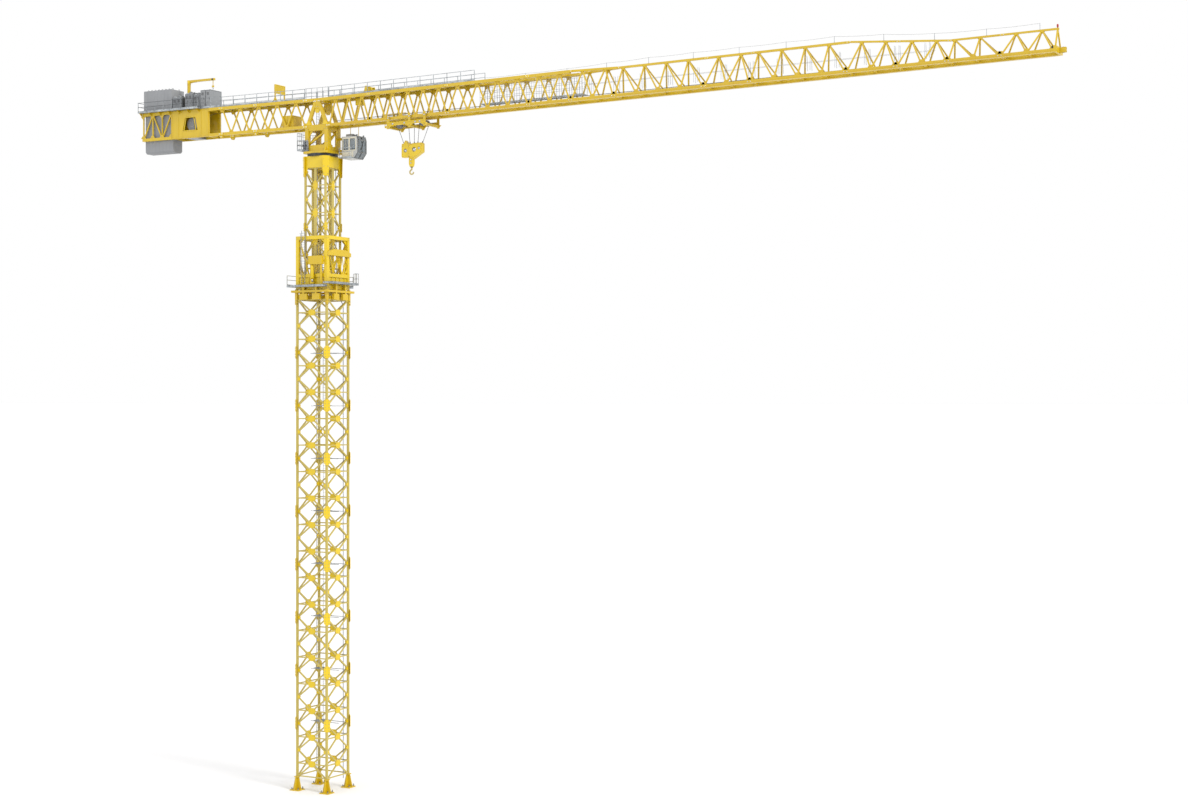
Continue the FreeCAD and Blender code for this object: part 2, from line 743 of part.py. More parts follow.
def slewing_drives():
    """Upright gear motors on the base plate, two on the right and one on the left."""
    edge = CHORD_Y + HEAD_COLUMN / 2
    drives = []
    for x, sign in ((-HEAD_PITCH_X / 2 - DRIVE_SPACING / 2, -1), (-HEAD_PITCH_X / 2 + DRIVE_SPACING / 2, -1), (HEAD_PITCH_X / 2, 1)):
        y = sign * (edge + DRIVE_BASE / 2)
        foot = centred(x, y, TABLE_TOP, DRIVE_BASE, DRIVE_BASE, DRIVE_BASE / 2)
        motor = rod(V(x, y, TABLE_TOP + DRIVE_BASE / 2), V(x, y, TABLE_TOP + DRIVE_HEIGHT), DRIVE_DIAMETER)
        drives.append(joined([foot, motor]))
    return drives


def tower_head():
    """Four columns, chord length over them, and an A-frame each side up to its apex plate."""
    bottom = CHORD_BOTTOM
    middle = bottom + CHORD_HEIGHT / 2
    beam_low = bottom - HEAD_BEAM
    pieces = ring_of_four(
        lambda sx, sy: centred(
            sx * HEAD_PITCH_X, sy * CHORD_Y, TABLE_TOP, HEAD_COLUMN, HEAD_COLUMN, bottom - TABLE_TOP
        )
    )
    for sy in (-1, 1):
        y = sy * CHORD_Y
        pieces.append(centred(0, y, bottom, 2 * HEAD_HALF, CHORD_WIDTH, CHORD_HEIGHT))
        pieces.append(centred(0, y, beam_low, HEAD_LENGTH, HEAD_BEAM, HEAD_BEAM))
        pieces.append(centred(0, y, TRUSS_TOP - APEX_HEIGHT, APEX_LENGTH, APEX_THICKNESS, APEX_HEIGHT))
        for sx in (-1, 1):
            foot = V(sx * HEAD_PITCH_X, y, middle)
            crown = V(sx * (APEX_LENGTH - HEAD_LEG) / 2, y, TRUSS_TOP - APEX_HEIGHT / 2)
            pieces.append(bar(foot, crown, HEAD_LEG, HEAD_LEG_THICKNESS, Y_AXIS))
        low = V(-HEAD_PITCH_X, y, TABLE_TOP + TURNTABLE_WALL_HEIGHT)
        high = V(HEAD_PITCH_X, y, beam_low)
        pieces.append(bar(low, high, HEAD_BRACE, HEAD_BRACE, Y_AXIS))
    for sx in (-1, 1):
        x = sx * HEAD_PITCH_X
        pieces.append(centred(x, 0, beam_low, HEAD_BEAM, CHORD_PITCH, HEAD_BEAM))
        pieces.append(centred(x, 0, bottom, HEAD_BRACE, CHORD_PITCH, CHORD_HEIGHT))
    pieces.append(centred(0, 0, TRUSS_TOP - HEAD_BEAM, HEAD_BEAM, CHORD_PITCH, HEAD_BEAM))
    return joined(pieces)


def runway_chord(start, end, side, runway=True):
    """Bottom chord from start to end, with the trolley's runway lip along its foot."""
    inner = side * (CHORD_Y - CHORD_WIDTH / 2)
    outer = side * CHORD_OUTER
    low = CHORD_BOTTOM
    section = [(inner, low), (outer, low), (outer, low + CHORD_HEIGHT), (inner, low + CHORD_HEIGHT)]
    if runway:
        lip = side * RUNWAY_OUTER
        section[1:2] = [(lip, low), (lip, low + RUNWAY_THICKNESS), (outer, low + RUNWAY_THICKNESS)]
    return prism([V(start, y, z) for y, z in section], V(end - start, 0, 0))


def jib_top(x):
    """Height of the top of the top chord over the bottom of the bottom chord."""
    share = min(1.0, max(0.0, (x - TAPER_START) / (TAPER_END - TAPER_START)))
    return JIB_HEIGHT + share * (JIB_TIP_HEIGHT - JIB_HEIGHT)


def top_spread(x):
    """Sideways distance of the top chords from the middle plane."""
    merged = SINGLE_CHORD / 2
    share = min(1.0, max(0.0, (x - SPREAD_END) / (MERGE_END - SPREAD_END)))
    return CHORD_Y + share * (merged - CHORD_Y) if x < MERGE_END else 0.0


def top_size(x):
    """Width and depth of the top chord."""
    if x < SPREAD_END:
        return CHORD_HEIGHT
    return SINGLE_CHORD if x < TAPER_START else TIP_CHORD


def top_chords(start, end):
    """Top chord or chords of one section, with upright end faces."""
    middle = (start + end) / 2
    size = top_size(middle)
    pieces = []
    if SPREAD_END <= middle < MERGE_END:
        low = CHORD_BOTTOM + JIB_HEIGHT - size
        for side in (-1, 1):
            near = side * CHORD_Y
            far = side * size / 2
            plan = [V(start, near - size / 2, low), V(start, near + size / 2, low)]
            plan += [V(end, far + size / 2, low), V(end, far - size / 2, low)]
            pieces.append(prism(plan, Z_AXIS * size))
        return pieces
    for side in (-1, 1) if middle < SPREAD_END else (0,):
        y = side * CHORD_Y - size / 2
        high = [CHORD_BOTTOM + jib_top(x) for x in (start, end)]
        profile = [
            V(start, y, high[0]), V(end, y, high[1]), V(end, y, high[1] - size), V(start, y, high[0] - size)
        ]
        pieces.append(prism(profile, Y_AXIS * size))
    return pieces


def truss_nodes(start, end, bay, lead):
    """Bottom nodes of a section and the top nodes between them."""
    first = start + NODE_INSET
    last = end - NODE_INSET
    count = max(1, round((end - start) / bay))
    pitch = (last - first) / count
    bottom = [first + pitch * index for index in range(count + 1)]
    top = [x + lead * pitch / bay for x in bottom[:-1]]
    return bottom, top


def truss_web(bottom, top, spread, height, size):
    """Side diagonals, bottom crossings and, under two top chords, top crossings."""
    low = CHORD_BOTTOM + CHORD_HEIGHT / 2
    pieces = []

    def crown(x, side):
        return V(x, side * spread(x), CHORD_BOTTOM + height(x) - size(x) / 2)

    for side in (-1, 1):
        for index, x in enumerate(top):
            for foot in bottom[index:index + 2]:
                pieces.append(
                    bar(V(foot, side * CHORD_Y, low), crown(x, side), JIB_DIAGONAL, JIB_DIAGONAL, Y_AXIS)
                )
    for index, x in enumerate(bottom):
        pieces.append(bar(V(x, -CHORD_Y, low), V(x, CHORD_Y, low), JIB_CROSS, JIB_CROSS))
        if index:
            side = -1 if index % 2 else 1
            corner = V(bottom[index - 1], side * CHORD_Y, low)
            pieces.append(bar(corner, V(x, -side * CHORD_Y, low), JIB_CROSS, JIB_CROSS))
    for index, x in enumerate(top):
        if spread(x) > SINGLE_CHORD:
            pieces.append(bar(crown(x, -1), crown(x, 1), JIB_CROSS, JIB_CROSS))
        if index and spread(x) > SINGLE_CHORD:
            side = -1 if index % 2 else 1
            pieces.append(bar(crown(top[index - 1], side), crown(x, -side), JIB_CROSS, JIB_CROSS))
    return pieces


def on_jib(shape):
    """Lift a shape drawn level on to the jib's slope."""
    lifted = shape.copy()
    lifted.rotate(V(0, 0, CHORD_BOTTOM), Y_AXIS, -JIB_PITCH)
    return lifted


def jib_sections():
    """Jib from the head outwards, two sections to a node."""
    nodes = {}
    root = (HEAD_HALF + JOINT_GAP + CHORD_HEIGHT * PITCH_SIN) / PITCH_COS
    crown = (APEX_LENGTH / 2 + JOINT_GAP + JIB_HEIGHT * PITCH_SIN) / PITCH_COS
    start = root
    for name, sections in JIB_NODES:
        pieces = []
        for end, bay, lead in sections:
            pieces += [runway_chord(start, end, side) for side in (-1, 1)]
            pieces += top_chords(crown if start == root else start, end)
            bottom, top = truss_nodes(start, end, bay, lead)
            pieces += truss_web(bottom, top, top_spread, jib_top, top_size)
            start = end
        nodes[name] = on_jib(joined(pieces))
    return nodes


def jib_tip():
    """End frame of the jib with its buffer beam and a sheave between two cheeks."""
    low = CHORD_BOTTOM
    pieces = [block(JIB_END, JIB_END + TIP_BEAM, -CHORD_OUTER, CHORD_OUTER, low, low + TIP_DEPTH)]
    middle = V(JIB_END + TIP_LENGTH - TIP_SHEAVE / 2, 0, low + TIP_DEPTH / 2)
    for side in (-1, 1):
        y = side * SHEAVE_WIDTH
        foot = low + TIP_CHEEK_INSET
        cheek = TIP_DEPTH - 2 * TIP_CHEEK_INSET
        pieces.append(centred(JIB_END + TIP_LENGTH / 2, y, foot, TIP_LENGTH, SHEAVE_WIDTH / 2, cheek))
        upright = V(JIB_END + TIP_BEAM / 2, side * CHORD_Y, low + TIP_DEPTH / 2)
        peak = V(JIB_END + TIP_BEAM / 2, 0, low + JIB_TIP_HEIGHT - TIP_CHORD / 2)
        pieces.append(bar(upright, peak, JIB_DIAGONAL, JIB_DIAGONAL, X_AXIS))
    half = V(0, SHEAVE_WIDTH / 2, 0)
    pieces.append(rod(middle - half, middle + half, TIP_SHEAVE))
    half = V(0, TIP_SHAFT_LENGTH / 2, 0)
    pieces.append(rod(middle - half, middle + half, SHEAVE_SHAFT))
    peak_low = low + JIB_TIP_HEIGHT - TIP_CHORD
    pieces.append(
        block(JIB_END, JIB_END + TIP_BEAM, -TIP_CHORD / 2, TIP_CHORD / 2, peak_low, peak_low + TIP_CHORD)
    )
    return on_jib(joined(pieces))


def jib_walkway():
    """Grating on top of the inner jib sections."""
    half = WALKWAY_WIDTH / 2
    return on_jib(block(WALKWAY_START, WALKWAY_END, -half, half, TRUSS_TOP, TRUSS_TOP + WALKWAY_THICKNESS))


def jib_railings():
    """Hand rails along both edges of the jib walkway."""
    y = (WALKWAY_WIDTH - RAIL_THICKNESS) / 2
    top = TRUSS_TOP + WALKWAY_THICKNESS
    sides = [railing(V(WALKWAY_START, s * y, 0), V(WALKWAY_END, s * y, 0), top) for s in (-1, 1)]
    return [on_jib(side) for side in sides]


def behind(shape):
    """Turn a shape drawn forwards to the counter-jib's side."""
    return shape.mirror(V(0, 0, 0), X_AXIS)


def counter_jib_truss():
    """Braced inner length of the counter-jib and the open bay behind it."""
    pieces = []
    for side in (-1, 1):
        pieces.append(runway_chord(HEAD_HALF, OPEN_BAY_END, side, runway=False))
        low = TRUSS_TOP - CHORD_HEIGHT
        y = side * CHORD_Y - CHORD_HEIGHT / 2
        pieces.append(block(APEX_LENGTH / 2, OPEN_BAY_END, y, y + CHORD_HEIGHT, low, TRUSS_TOP))
    bottom, top = truss_nodes(HEAD_HALF, COUNTER_WEB_END, COUNTER_BAY, COUNTER_BAY / 2)
    top.append(2 * bottom[-1] - top[-1])
    pieces += truss_web(bottom, top, lambda x: CHORD_Y, lambda x: JIB_HEIGHT, lambda x: CHORD_HEIGHT)
    return behind(joined(pieces))


def counter_jib_rear():
    """Plated winch bay with its windows, and the frame round the counterweights."""
    low = CHORD_BOTTOM
    centre = (WINDOW_START + WINDOW_END) / 2
    window_low = low + (JIB_HEIGHT - WINDOW_HEIGHT) / 2
    pieces = []
    for side in (-1, 1):
        y = side * CHORD_Y - SIDE_PLATE / 2
        plate = block(OPEN_BAY_END, WINCH_BAY_END, y, y + SIDE_PLATE, low, TRUSS_TOP)
        half = (WINDOW_END - WINDOW_START) / 2
        narrow = half - WINDOW_SLOPE
        corners = [(-half, 0), (half, 0), (narrow, WINDOW_HEIGHT), (-narrow, WINDOW_HEIGHT)]
        outline = [V(centre + a, y - 1, window_low + b) for a, b in corners]
        pieces.append(plate.cut(prism(outline, Y_AXIS * (SIDE_PLATE + 2))))
        pieces.append(runway_chord(WINCH_BAY_END, COUNTER_END, side, runway=False))
        y = side * CHORD_Y - CHORD_HEIGHT / 2
        pieces.append(
            block(WINCH_BAY_END, COUNTER_END, y, y + CHORD_HEIGHT, TRUSS_TOP - CHORD_HEIGHT, TRUSS_TOP)
        )
        bay = (COUNTER_END - WINCH_BAY_END - 2 * NODE_INSET) / REAR_BAYS
        for index in range(REAR_BAYS + 1):
            x = WINCH_BAY_END + NODE_INSET + index * bay
            foot = V(x, side * CHORD_Y, low + CHORD_HEIGHT / 2)
            crown = V(x, side * CHORD_Y, TRUSS_TOP - CHORD_HEIGHT / 2)
            pieces.append(bar(foot, crown, JIB_DIAGONAL, JIB_DIAGONAL, Y_AXIS))
            if index % 2:
                pieces.append(bar(crown - X_AXIS * bay, foot, JIB_DIAGONAL, JIB_DIAGONAL, Y_AXIS))
            elif index:
                pieces.append(bar(foot - X_AXIS * bay, crown, JIB_DIAGONAL, JIB_DIAGONAL, Y_AXIS))
    for x in (OPEN_BAY_END + HEAD_BEAM / 2, WINCH_BAY_END - HEAD_BEAM, COUNTER_END - CROSS_BEAM / 2):
        pieces.append(centred(x, 0, low, CROSS_BEAM, CHORD_PITCH, CHORD_HEIGHT))
        pieces.append(centred(x, 0, TRUSS_TOP - CHORD_HEIGHT, CROSS_BEAM, CHORD_PITCH, CHORD_HEIGHT))
    return behind(joined(pieces))


def slab_start():
    """Where the first counterweight slab begins, behind the winch bay."""
    return WINCH_BAY_END + SLAB_CLEARANCE


def counter_jib_deck():
    """Walkway over the truss and the wide machinery deck, with a slot for the counterweights."""
    half = DECK_WIDTH / 2
    walk = WALKWAY_WIDTH / 2
    narrow = DECK_NARROW / 2
    deck = block(DECK_STEP, DECK_END, -half, half, TRUSS_TOP, DECK_TOP)
    front = block(COUNTER_TRUSS_END, DECK_STEP, -narrow, narrow, TRUSS_TOP, DECK_TOP)
    grating_top = TRUSS_TOP + WALKWAY_THICKNESS
    grating = block(WALKWAY_START, COUNTER_TRUSS_END, -walk, walk, TRUSS_TOP, grating_top)
    first = slab_start()
    last = first + SLAB_COUNT * SLAB_PITCH
    reach = SLAB_WIDTH / 2 + SLAB_SHOULDER + SLOT_CLEARANCE
    gap = SLOT_CLEARANCE
    slot = block(first - gap, last + gap, -reach, reach, TRUSS_TOP - 1, DECK_TOP + 1)
    return behind(joined([deck, front, grating]).cut(slot))


def counter_jib_railings():
    """Hand rails along the counter-jib walkway and round the end of the deck."""
    y = (WALKWAY_WIDTH - RAIL_THICKNESS) / 2
    grating_top = TRUSS_TOP + WALKWAY_THICKNESS
    rails = [
        railing(V(-COUNTER_TRUSS_END + 2, s * y, 0), V(-WALKWAY_START, s * y, 0), grating_top) for s in (-1, 1)
    ]
    edge = DECK_END - RAIL_THICKNESS / 2
    side = (DECK_WIDTH - RAIL_THICKNESS) / 2
    rails.append(railing(V(-edge, -side, 0), V(-edge, side, 0), DECK_TOP))
    return rails


def counterweights():
    """Row of concrete slabs hung on the top chords by their shoulders."""
    low = CHORD_BOTTOM - SLAB_DROP
    high = low + SLAB_HEIGHT
    half = SLAB_WIDTH / 2
    wide = half + SLAB_SHOULDER
    slabs = []
    for index in range(SLAB_COUNT):
        x = -slab_start() - index * SLAB_PITCH - SLAB_GAP / 2
        c = SLAB_CORNER
        profile = [(-half, low + c), (-half + c, low), (half - c, low), (half, low + c), (half, TRUSS_TOP)]
        profile += [(wide, TRUSS_TOP), (wide, high), (-wide, high), (-wide, TRUSS_TOP), (-half, TRUSS_TOP)]
        slabs.append(prism([V(x, y, z) for y, z in profile], V(SLAB_GAP - SLAB_PITCH, 0, 0)))
    return slabs


def hoist_winch():
    """Rope drum on a shaft between two stands, on a base across the winch bay."""
    x = -(WINDOW_START + WINDOW_END) / 2
    z = CHORD_BOTTOM + JIB_HEIGHT / 2
    reach = CHORD_Y - SIDE_PLATE / 2
    base_top = CHORD_BOTTOM + WINCH_BASE
    drum_end = DRUM_LENGTH / 2
    stand = drum_end + DRUM_FLANGE_THICKNESS
    shaft = rod(V(x, -stand - WINCH_STAND, z), V(x, stand + WINCH_STAND, z), DRUM_SHAFT)
    drum = rod(V(x, -drum_end, z), V(x, drum_end, z), DRUM_DIAMETER)
    base = centred(x, 0, CHORD_BOTTOM, DRUM_FLANGE, 2 * reach, WINCH_BASE)
    pieces = [shaft, drum, base]
    for side in (-1, 1):
        inner = V(x, side * drum_end, z)
        pieces.append(rod(inner, V(x, side * stand, z), DRUM_FLANGE))
        y = side * stand
        corners = [(-DRUM_FLANGE / 2, base_top), (DRUM_FLANGE / 2, base_top), (DRUM_SHAFT, z + DRUM_SHAFT)]
        corners.append((-DRUM_SHAFT, z + DRUM_SHAFT))
        pieces.append(prism([V(x + a, y, b) for a, b in corners], Y_AXIS * side * WINCH_STAND))
    return joined(pieces)


def deck_machinery():
    """Motor and gear housings standing on the deck."""
    housings = []
    for x, length, width, height in MACHINE_HOUSINGS:
        housings.append(centred(-x - length / 2, 0, DECK_TOP, length, width, height))
    return housings


def deck_cabinets():
    """Two tall control cabinets at the front of the deck."""
    cabinets = []
    for index in range(2):
        x = -CABINET_START - CABINET_LENGTH / 2 - index * (CABINET_LENGTH + CABINET_GAP)
        cabinets.append(centred(x, 0, DECK_TOP, CABINET_LENGTH, CABINET_WIDTH, CABINET_HEIGHT))
    return cabinets


def davit_post():
    """Post on the deck's right edge with a pin on its head."""
    top = DECK_TOP + DAVIT_HEIGHT - DAVIT_HEAD
    post = rod(V(DAVIT_X, DAVIT_Y, DECK_TOP), V(DAVIT_X, DAVIT_Y, top), DAVIT_POST)
    pin = rod(V(DAVIT_X, DAVIT_Y, top), V(DAVIT_X, DAVIT_Y, top + DAVIT_HEAD / 2), DAVIT_PIN)
    return joined([post, pin])


def davit_arm():
    """Arm that turns on the post's pin, with a small hook block hung from its end."""
    low = DECK_TOP + DAVIT_HEIGHT - DAVIT_HEAD + DAVIT_GAP
    high = DECK_TOP + DAVIT_HEIGHT
    head = rod(V(DAVIT_X, DAVIT_Y, low), V(DAVIT_X, DAVIT_Y, high), DAVIT_POST)
    bore = DAVIT_PIN / 2 + DAVIT_GAP
    socket = Part.makeCylinder(bore, DAVIT_HEAD / 2 + DAVIT_GAP, V(DAVIT_X, DAVIT_Y, low), Z_AXIS)
    tip = DAVIT_X + DAVIT_ARM
    middle = high - DAVIT_BEAM / 2
    arm = bar(V(DAVIT_X, DAVIT_Y, middle), V(tip, DAVIT_Y, middle), DAVIT_BEAM, DAVIT_BEAM)
    x = tip - DAVIT_BEAM
    fall = DAVIT_BEAM / 4
    drop = centred(x, DAVIT_Y, middle - DAVIT_TACKLE, fall, fall, DAVIT_TACKLE)
    tackle = centred(x, DAVIT_Y, middle - DAVIT_TACKLE - DAVIT_HOOK, DAVIT_BEAM, DAVIT_BEAM / 2, DAVIT_HOOK)
    return joined([head, arm, drop, tackle]).cut(socket)


def portal_board():
    """Frame across the counter-jib walkway with a plain board in its upper half."""
    low = TRUSS_TOP + WALKWAY_THICKNESS
    high = TRUSS_TOP + WALKWAY_THICKNESS + PORTAL_HEIGHT
    half = PORTAL_WIDTH / 2
    pieces = [centred(PORTAL_X, 0, high - PORTAL_BOARD, PORTAL_THICKNESS, PORTAL_WIDTH, PORTAL_BOARD)]
    for side in (-1, 1):
        y = side * (half - PORTAL_THICKNESS / 2)
        pieces.append(centred(PORTAL_X, y, low, PORTAL_THICKNESS, PORTAL_THICKNESS, high - low))
    return joined(pieces)


def head_platform():
    """Landing behind the tower head with hand rails on its open sides."""
    low = TABLE_TOP + HEAD_PLATFORM_RISE
    high = low + HEAD_PLATFORM_THICKNESS
    half = HEAD_PLATFORM_WIDTH / 2
    back = -HEAD_HALF - HEAD_PLATFORM_LENGTH
    edge = half - RAIL_THICKNESS / 2
    pieces = [block(back, -HEAD_HALF, -half, half, low, high)]
    pieces += [railing(V(back, side * edge, 0), V(-HEAD_HALF, side * edge, 0), high) for side in (-1, 1)]
    pieces.append(
        railing(V(back + RAIL_THICKNESS / 2, -edge, 0), V(back + RAIL_THICKNESS / 2, edge, 0), high)
    )
    return joined(pieces)


def cab_outline(margin):
    """Side profile of the cab, pulled in by margin all round."""
    front = CAB_BACK + CAB_LENGTH
    top = CAB_BOTTOM + CAB_HEIGHT
    points = [(CAB_BACK, CAB_BOTTOM), (front - CAB_NOSE_SETBACK, CAB_BOTTOM), (front, CAB_BOTTOM + CAB_NOSE)]
    points += [(front, top - CAB_BROW), (front - CAB_BROW_SETBACK, top), (CAB_BACK, top)]
    return inset(points, [margin] * len(points))


def cab_body(margin):
    """Cab volume pulled in by margin on every side."""
    side = CAB_SIDE + margin
    return prism([V(x, side, z) for x, z in cab_outline(margin)], Y_AXIS * (CAB_WIDTH - 2 * margin))


def cab_panes():
    """Window volumes: nose, windscreen and brow panes, and two side windows each side."""
    outline = cab_outline(0)
    y0 = CAB_SIDE + CAB_PILLAR
    width = CAB_WIDTH - 2 * CAB_PILLAR
    panes = []
    for (ax, az), (bx, bz) in zip(outline[1:4], outline[2:5]):
        run = V(bx - ax, 0, bz - az)
        run.normalize()
        outward = V(run.z, 0, -run.x)
        a = V(ax, y0, az) + run * CAB_PILLAR / 2 + outward
        b = V(bx, y0, bz) - run * CAB_PILLAR / 2 + outward
        inward = outward * -(CAB_WALL + CAB_PANE_MARGIN)
        panes.append(prism([a, b, b + Y_AXIS * width, a + Y_AXIS * width], inward))
    sill = CAB_BOTTOM + CAB_SILL
    lintel = CAB_BOTTOM + CAB_HEIGHT - CAB_BROW / 2
    middle = CAB_BACK + CAB_LENGTH / 2
    front = CAB_BACK + CAB_LENGTH - CAB_BROW_SETBACK - CAB_PILLAR
    for y in (CAB_SIDE - 1, CAB_SIDE + CAB_WIDTH - CAB_WALL - 1):
        thick = CAB_WALL + 2
        panes.append(block(CAB_BACK + 2 * CAB_PILLAR, middle - CAB_PILLAR, y, y + thick, sill, lintel))
        panes.append(block(middle, front, y, y + thick, sill, lintel))
    return panes


def cab_shell():
    """Hollow cab with its windows cut through."""
    return cab_body(0).cut([cab_body(CAB_WALL)] + cab_panes())


def cab_glazing():
    """Panes of glass set in the middle of the cab's walls."""
    inset_glass = (CAB_WALL - CAB_GLASS) / 2
    layer = cab_body(inset_glass).cut(cab_body(inset_glass + CAB_GLASS))
    return [layer.common(pane) for pane in cab_panes()]


def cab_supports():
    """Beams from the head's front columns to the cab, and two rods up to the jib."""
    back = CAB_BACK
    y = CHORD_Y
    top = CAB_BOTTOM + CAB_HEIGHT
    beams = []
    for low in (TABLE_TOP, top - CAB_BEAM):
        beams.append(block(HEAD_HALF, back, y - CAB_BEAM / 2, y + CAB_BEAM / 2, low, low + CAB_BEAM))
    for share in CAB_ROD_SHARES:
        x = back + share * (CAB_LENGTH - CAB_BROW_SETBACK)
        end = CHORD_BOTTOM + (x - CAB_ROD / 2) * PITCH_SIN / PITCH_COS
        beams.append(rod(V(x, y, top), V(x, y, end), CAB_ROD))
    return beams


def cab_walkway():
    """Grating beside the cab with its hand rail."""
    low = CAB_BOTTOM
    front = CAB_BACK + CAB_LENGTH - CAB_NOSE_SETBACK
    outer = CAB_SIDE - CAB_WALKWAY
    floor = block(CAB_BACK, front, outer, CAB_SIDE, low, low + WALKWAY_THICKNESS)
    y = outer + RAIL_THICKNESS / 2
    rail = railing(V(CAB_BACK, y, 0), V(front, y, 0), low + WALKWAY_THICKNESS)
    return joined([floor, rail])


def trolley_frame():
    """Cheeks outside the runways, each a rail with four legs, and a beam under the jib at each leg."""
    low = CHORD_BOTTOM - TROLLEY_DROP
    outer = TROLLEY_Y + TROLLEY_PLATE
    rail_low = CHORD_BOTTOM - TROLLEY_RAIL_LOW
    rail_high = CHORD_BOTTOM - TROLLEY_RAIL_HIGH
    pieces = []
    for side in (-1, 1):
        y = side * (TROLLEY_Y + TROLLEY_PLATE / 2)
        pieces.append(centred(TROLLEY_X, y, rail_low, TROLLEY_LENGTH, TROLLEY_PLATE, rail_high - rail_low))
        for place, rise in TROLLEY_LEGS:
            x = TROLLEY_X + place
            pieces.append(centred(x, y, low, TROLLEY_LEG, TROLLEY_PLATE, TROLLEY_DROP + rise))
    for place, rise in TROLLEY_LEGS:
        pieces.append(
            centred(TROLLEY_X + place, 0, rail_low - TROLLEY_BEAM, TROLLEY_BEAM, 2 * outer, TROLLEY_BEAM)
        )
    return on_jib(joined(pieces))


def trolley_wheels():
    """Rail wheels on the cheeks' legs, and the rope sheaves on shafts between the cheeks."""
    radius = WHEEL_DIAMETER / 2
    z = CHORD_BOTTOM + RUNWAY_THICKNESS + WHEEL_GAP + radius
    inner = CHORD_OUTER + WHEEL_CHORD_CLEARANCE
    pieces = []
    for side in (-1, 1):
        for place, rise in TROLLEY_LEGS:
            start = V(TROLLEY_X + place, side * inner, z)
            pieces.append(rod(start, V(start.x, side * TROLLEY_Y, z), WHEEL_DIAMETER))
    level = CHORD_BOTTOM - SHEAVE_LEVEL
    for place, diameter in TROLLEY_SHEAVES:
        x = TROLLEY_X + place
        discs = [rod(V(x, -TROLLEY_Y, level), V(x, TROLLEY_Y, level), SHEAVE_SHAFT)]
        for y in (-SHEAVE_TRACK, SHEAVE_TRACK):
            discs.append(rod(V(x, y - SHEAVE_WIDTH / 2, level), V(x, y + SHEAVE_WIDTH / 2, level), diameter))
        pieces.append(joined(discs))
    return [on_jib(piece) for piece in pieces]


def trolley_basket():
    """Open work basket carried on the trolley's left cheek."""
    back = TROLLEY_X + BASKET_START
    front = back + BASKET_LENGTH
    y0 = TROLLEY_Y + TROLLEY_PLATE
    y1 = y0 + BASKET_WIDTH
    low = CHORD_BOTTOM - TROLLEY_RAIL_HIGH - BASKET_WALL
    high = low + BASKET_HEIGHT
    wall = BASKET_WALL
    solid = block(back, front, y0, y1, low, high)
    hollow = block(back + wall, front - wall, y0 + wall, y1 - wall, low + wall, high + 1)
    cuts = [hollow]
    middle = (low + high) / 2
    bay = (BASKET_LENGTH - wall) / BASKET_BAYS
    for z0, z1 in ((low + 4 * wall, middle - wall / 2), (middle + wall / 2, high - wall)):
        cuts.append(block(back - 1, front + 1, y0 + wall, y1 - wall, z0, z1))
        for index in range(BASKET_BAYS):
            x0 = back + wall + index * bay
            cuts.append(block(x0, x0 + bay - wall, y0 - 1, y1 + 1, z0, z1))
    return on_jib(solid.cut(cuts))


def trolley_middle(level):
    """Place of the trolley's middle at a given height over the level chord line."""
    x = TROLLEY_X
    return V(x * PITCH_COS - level * PITCH_SIN, 0, CHORD_BOTTOM + x * PITCH_SIN + level * PITCH_COS)


def hook_block():
    """Small and large sheave housings side by side, and the tapered hanger under them."""
    middle = trolley_middle(0).x
    left = middle - BLOCK_LENGTH / 2
    right = left + BLOCK_LENGTH
    split = left + BLOCK_SMALL_LENGTH
    low = BLOCK_BOTTOM
    high = BLOCK_TOP
    shoulder = high - BLOCK_SHOULDER
    centre = middle + HANGER_OFFSET
    wide = HANGER_WIDTH / 2
    foot = HANGER_FOOT / 2
    seat = low - HANGER_DROP
    corner = BLOCK_SHOULDER / 2

    def plate(points, thickness):
        return prism([V(x, -thickness / 2, z) for x, z in points], Y_AXIS * thickness)

    peak = (left + split) / 2
    small = [
        (left, low + corner), (left + corner, low), (split, low), (split, shoulder), (peak, high + BLOCK_PEAK)
    ]
    small += [(left + corner, shoulder), (left, shoulder - corner)]
    large = [(split, low + BLOCK_SHOULDER), (centre + wide, low - BLOCK_SHOULDER), (right, high - BLOCK_CUT)]
    large += [
        (right, high - corner), (right - corner, high), (split + BLOCK_CUT_LENGTH, high), (split, shoulder)
    ]
    link = [(centre - wide, low + BLOCK_SHOULDER), (centre - wide, seat + HANGER_NECK), (centre - foot, seat)]
    link += [
        (centre + foot, seat), (centre + wide, seat + HANGER_NECK), (centre + wide, low + BLOCK_SHOULDER)
    ]
    pieces = [
        plate(small, BLOCK_SMALL_THICKNESS), plate(large, BLOCK_LARGE_THICKNESS), plate(link, HANGER_THICKNESS)
    ]
    for sheave, side, place in ROPE_FALLS:
        bottom = high - 2 * BLOCK_SHOULDER
        pieces.append(centred(middle + place, 0, bottom, ROPE_LUG, BLOCK_SMALL_THICKNESS, high - bottom))
    place = V(centre, 0, seat - 1)
    bore = Part.makeCylinder(HOOK_SHANK / 2 + HOOK_GAP, HOOK_SHANK_DEPTH + HOOK_GAP + 1, place, Z_AXIS)
    return joined(pieces).cut(bore)


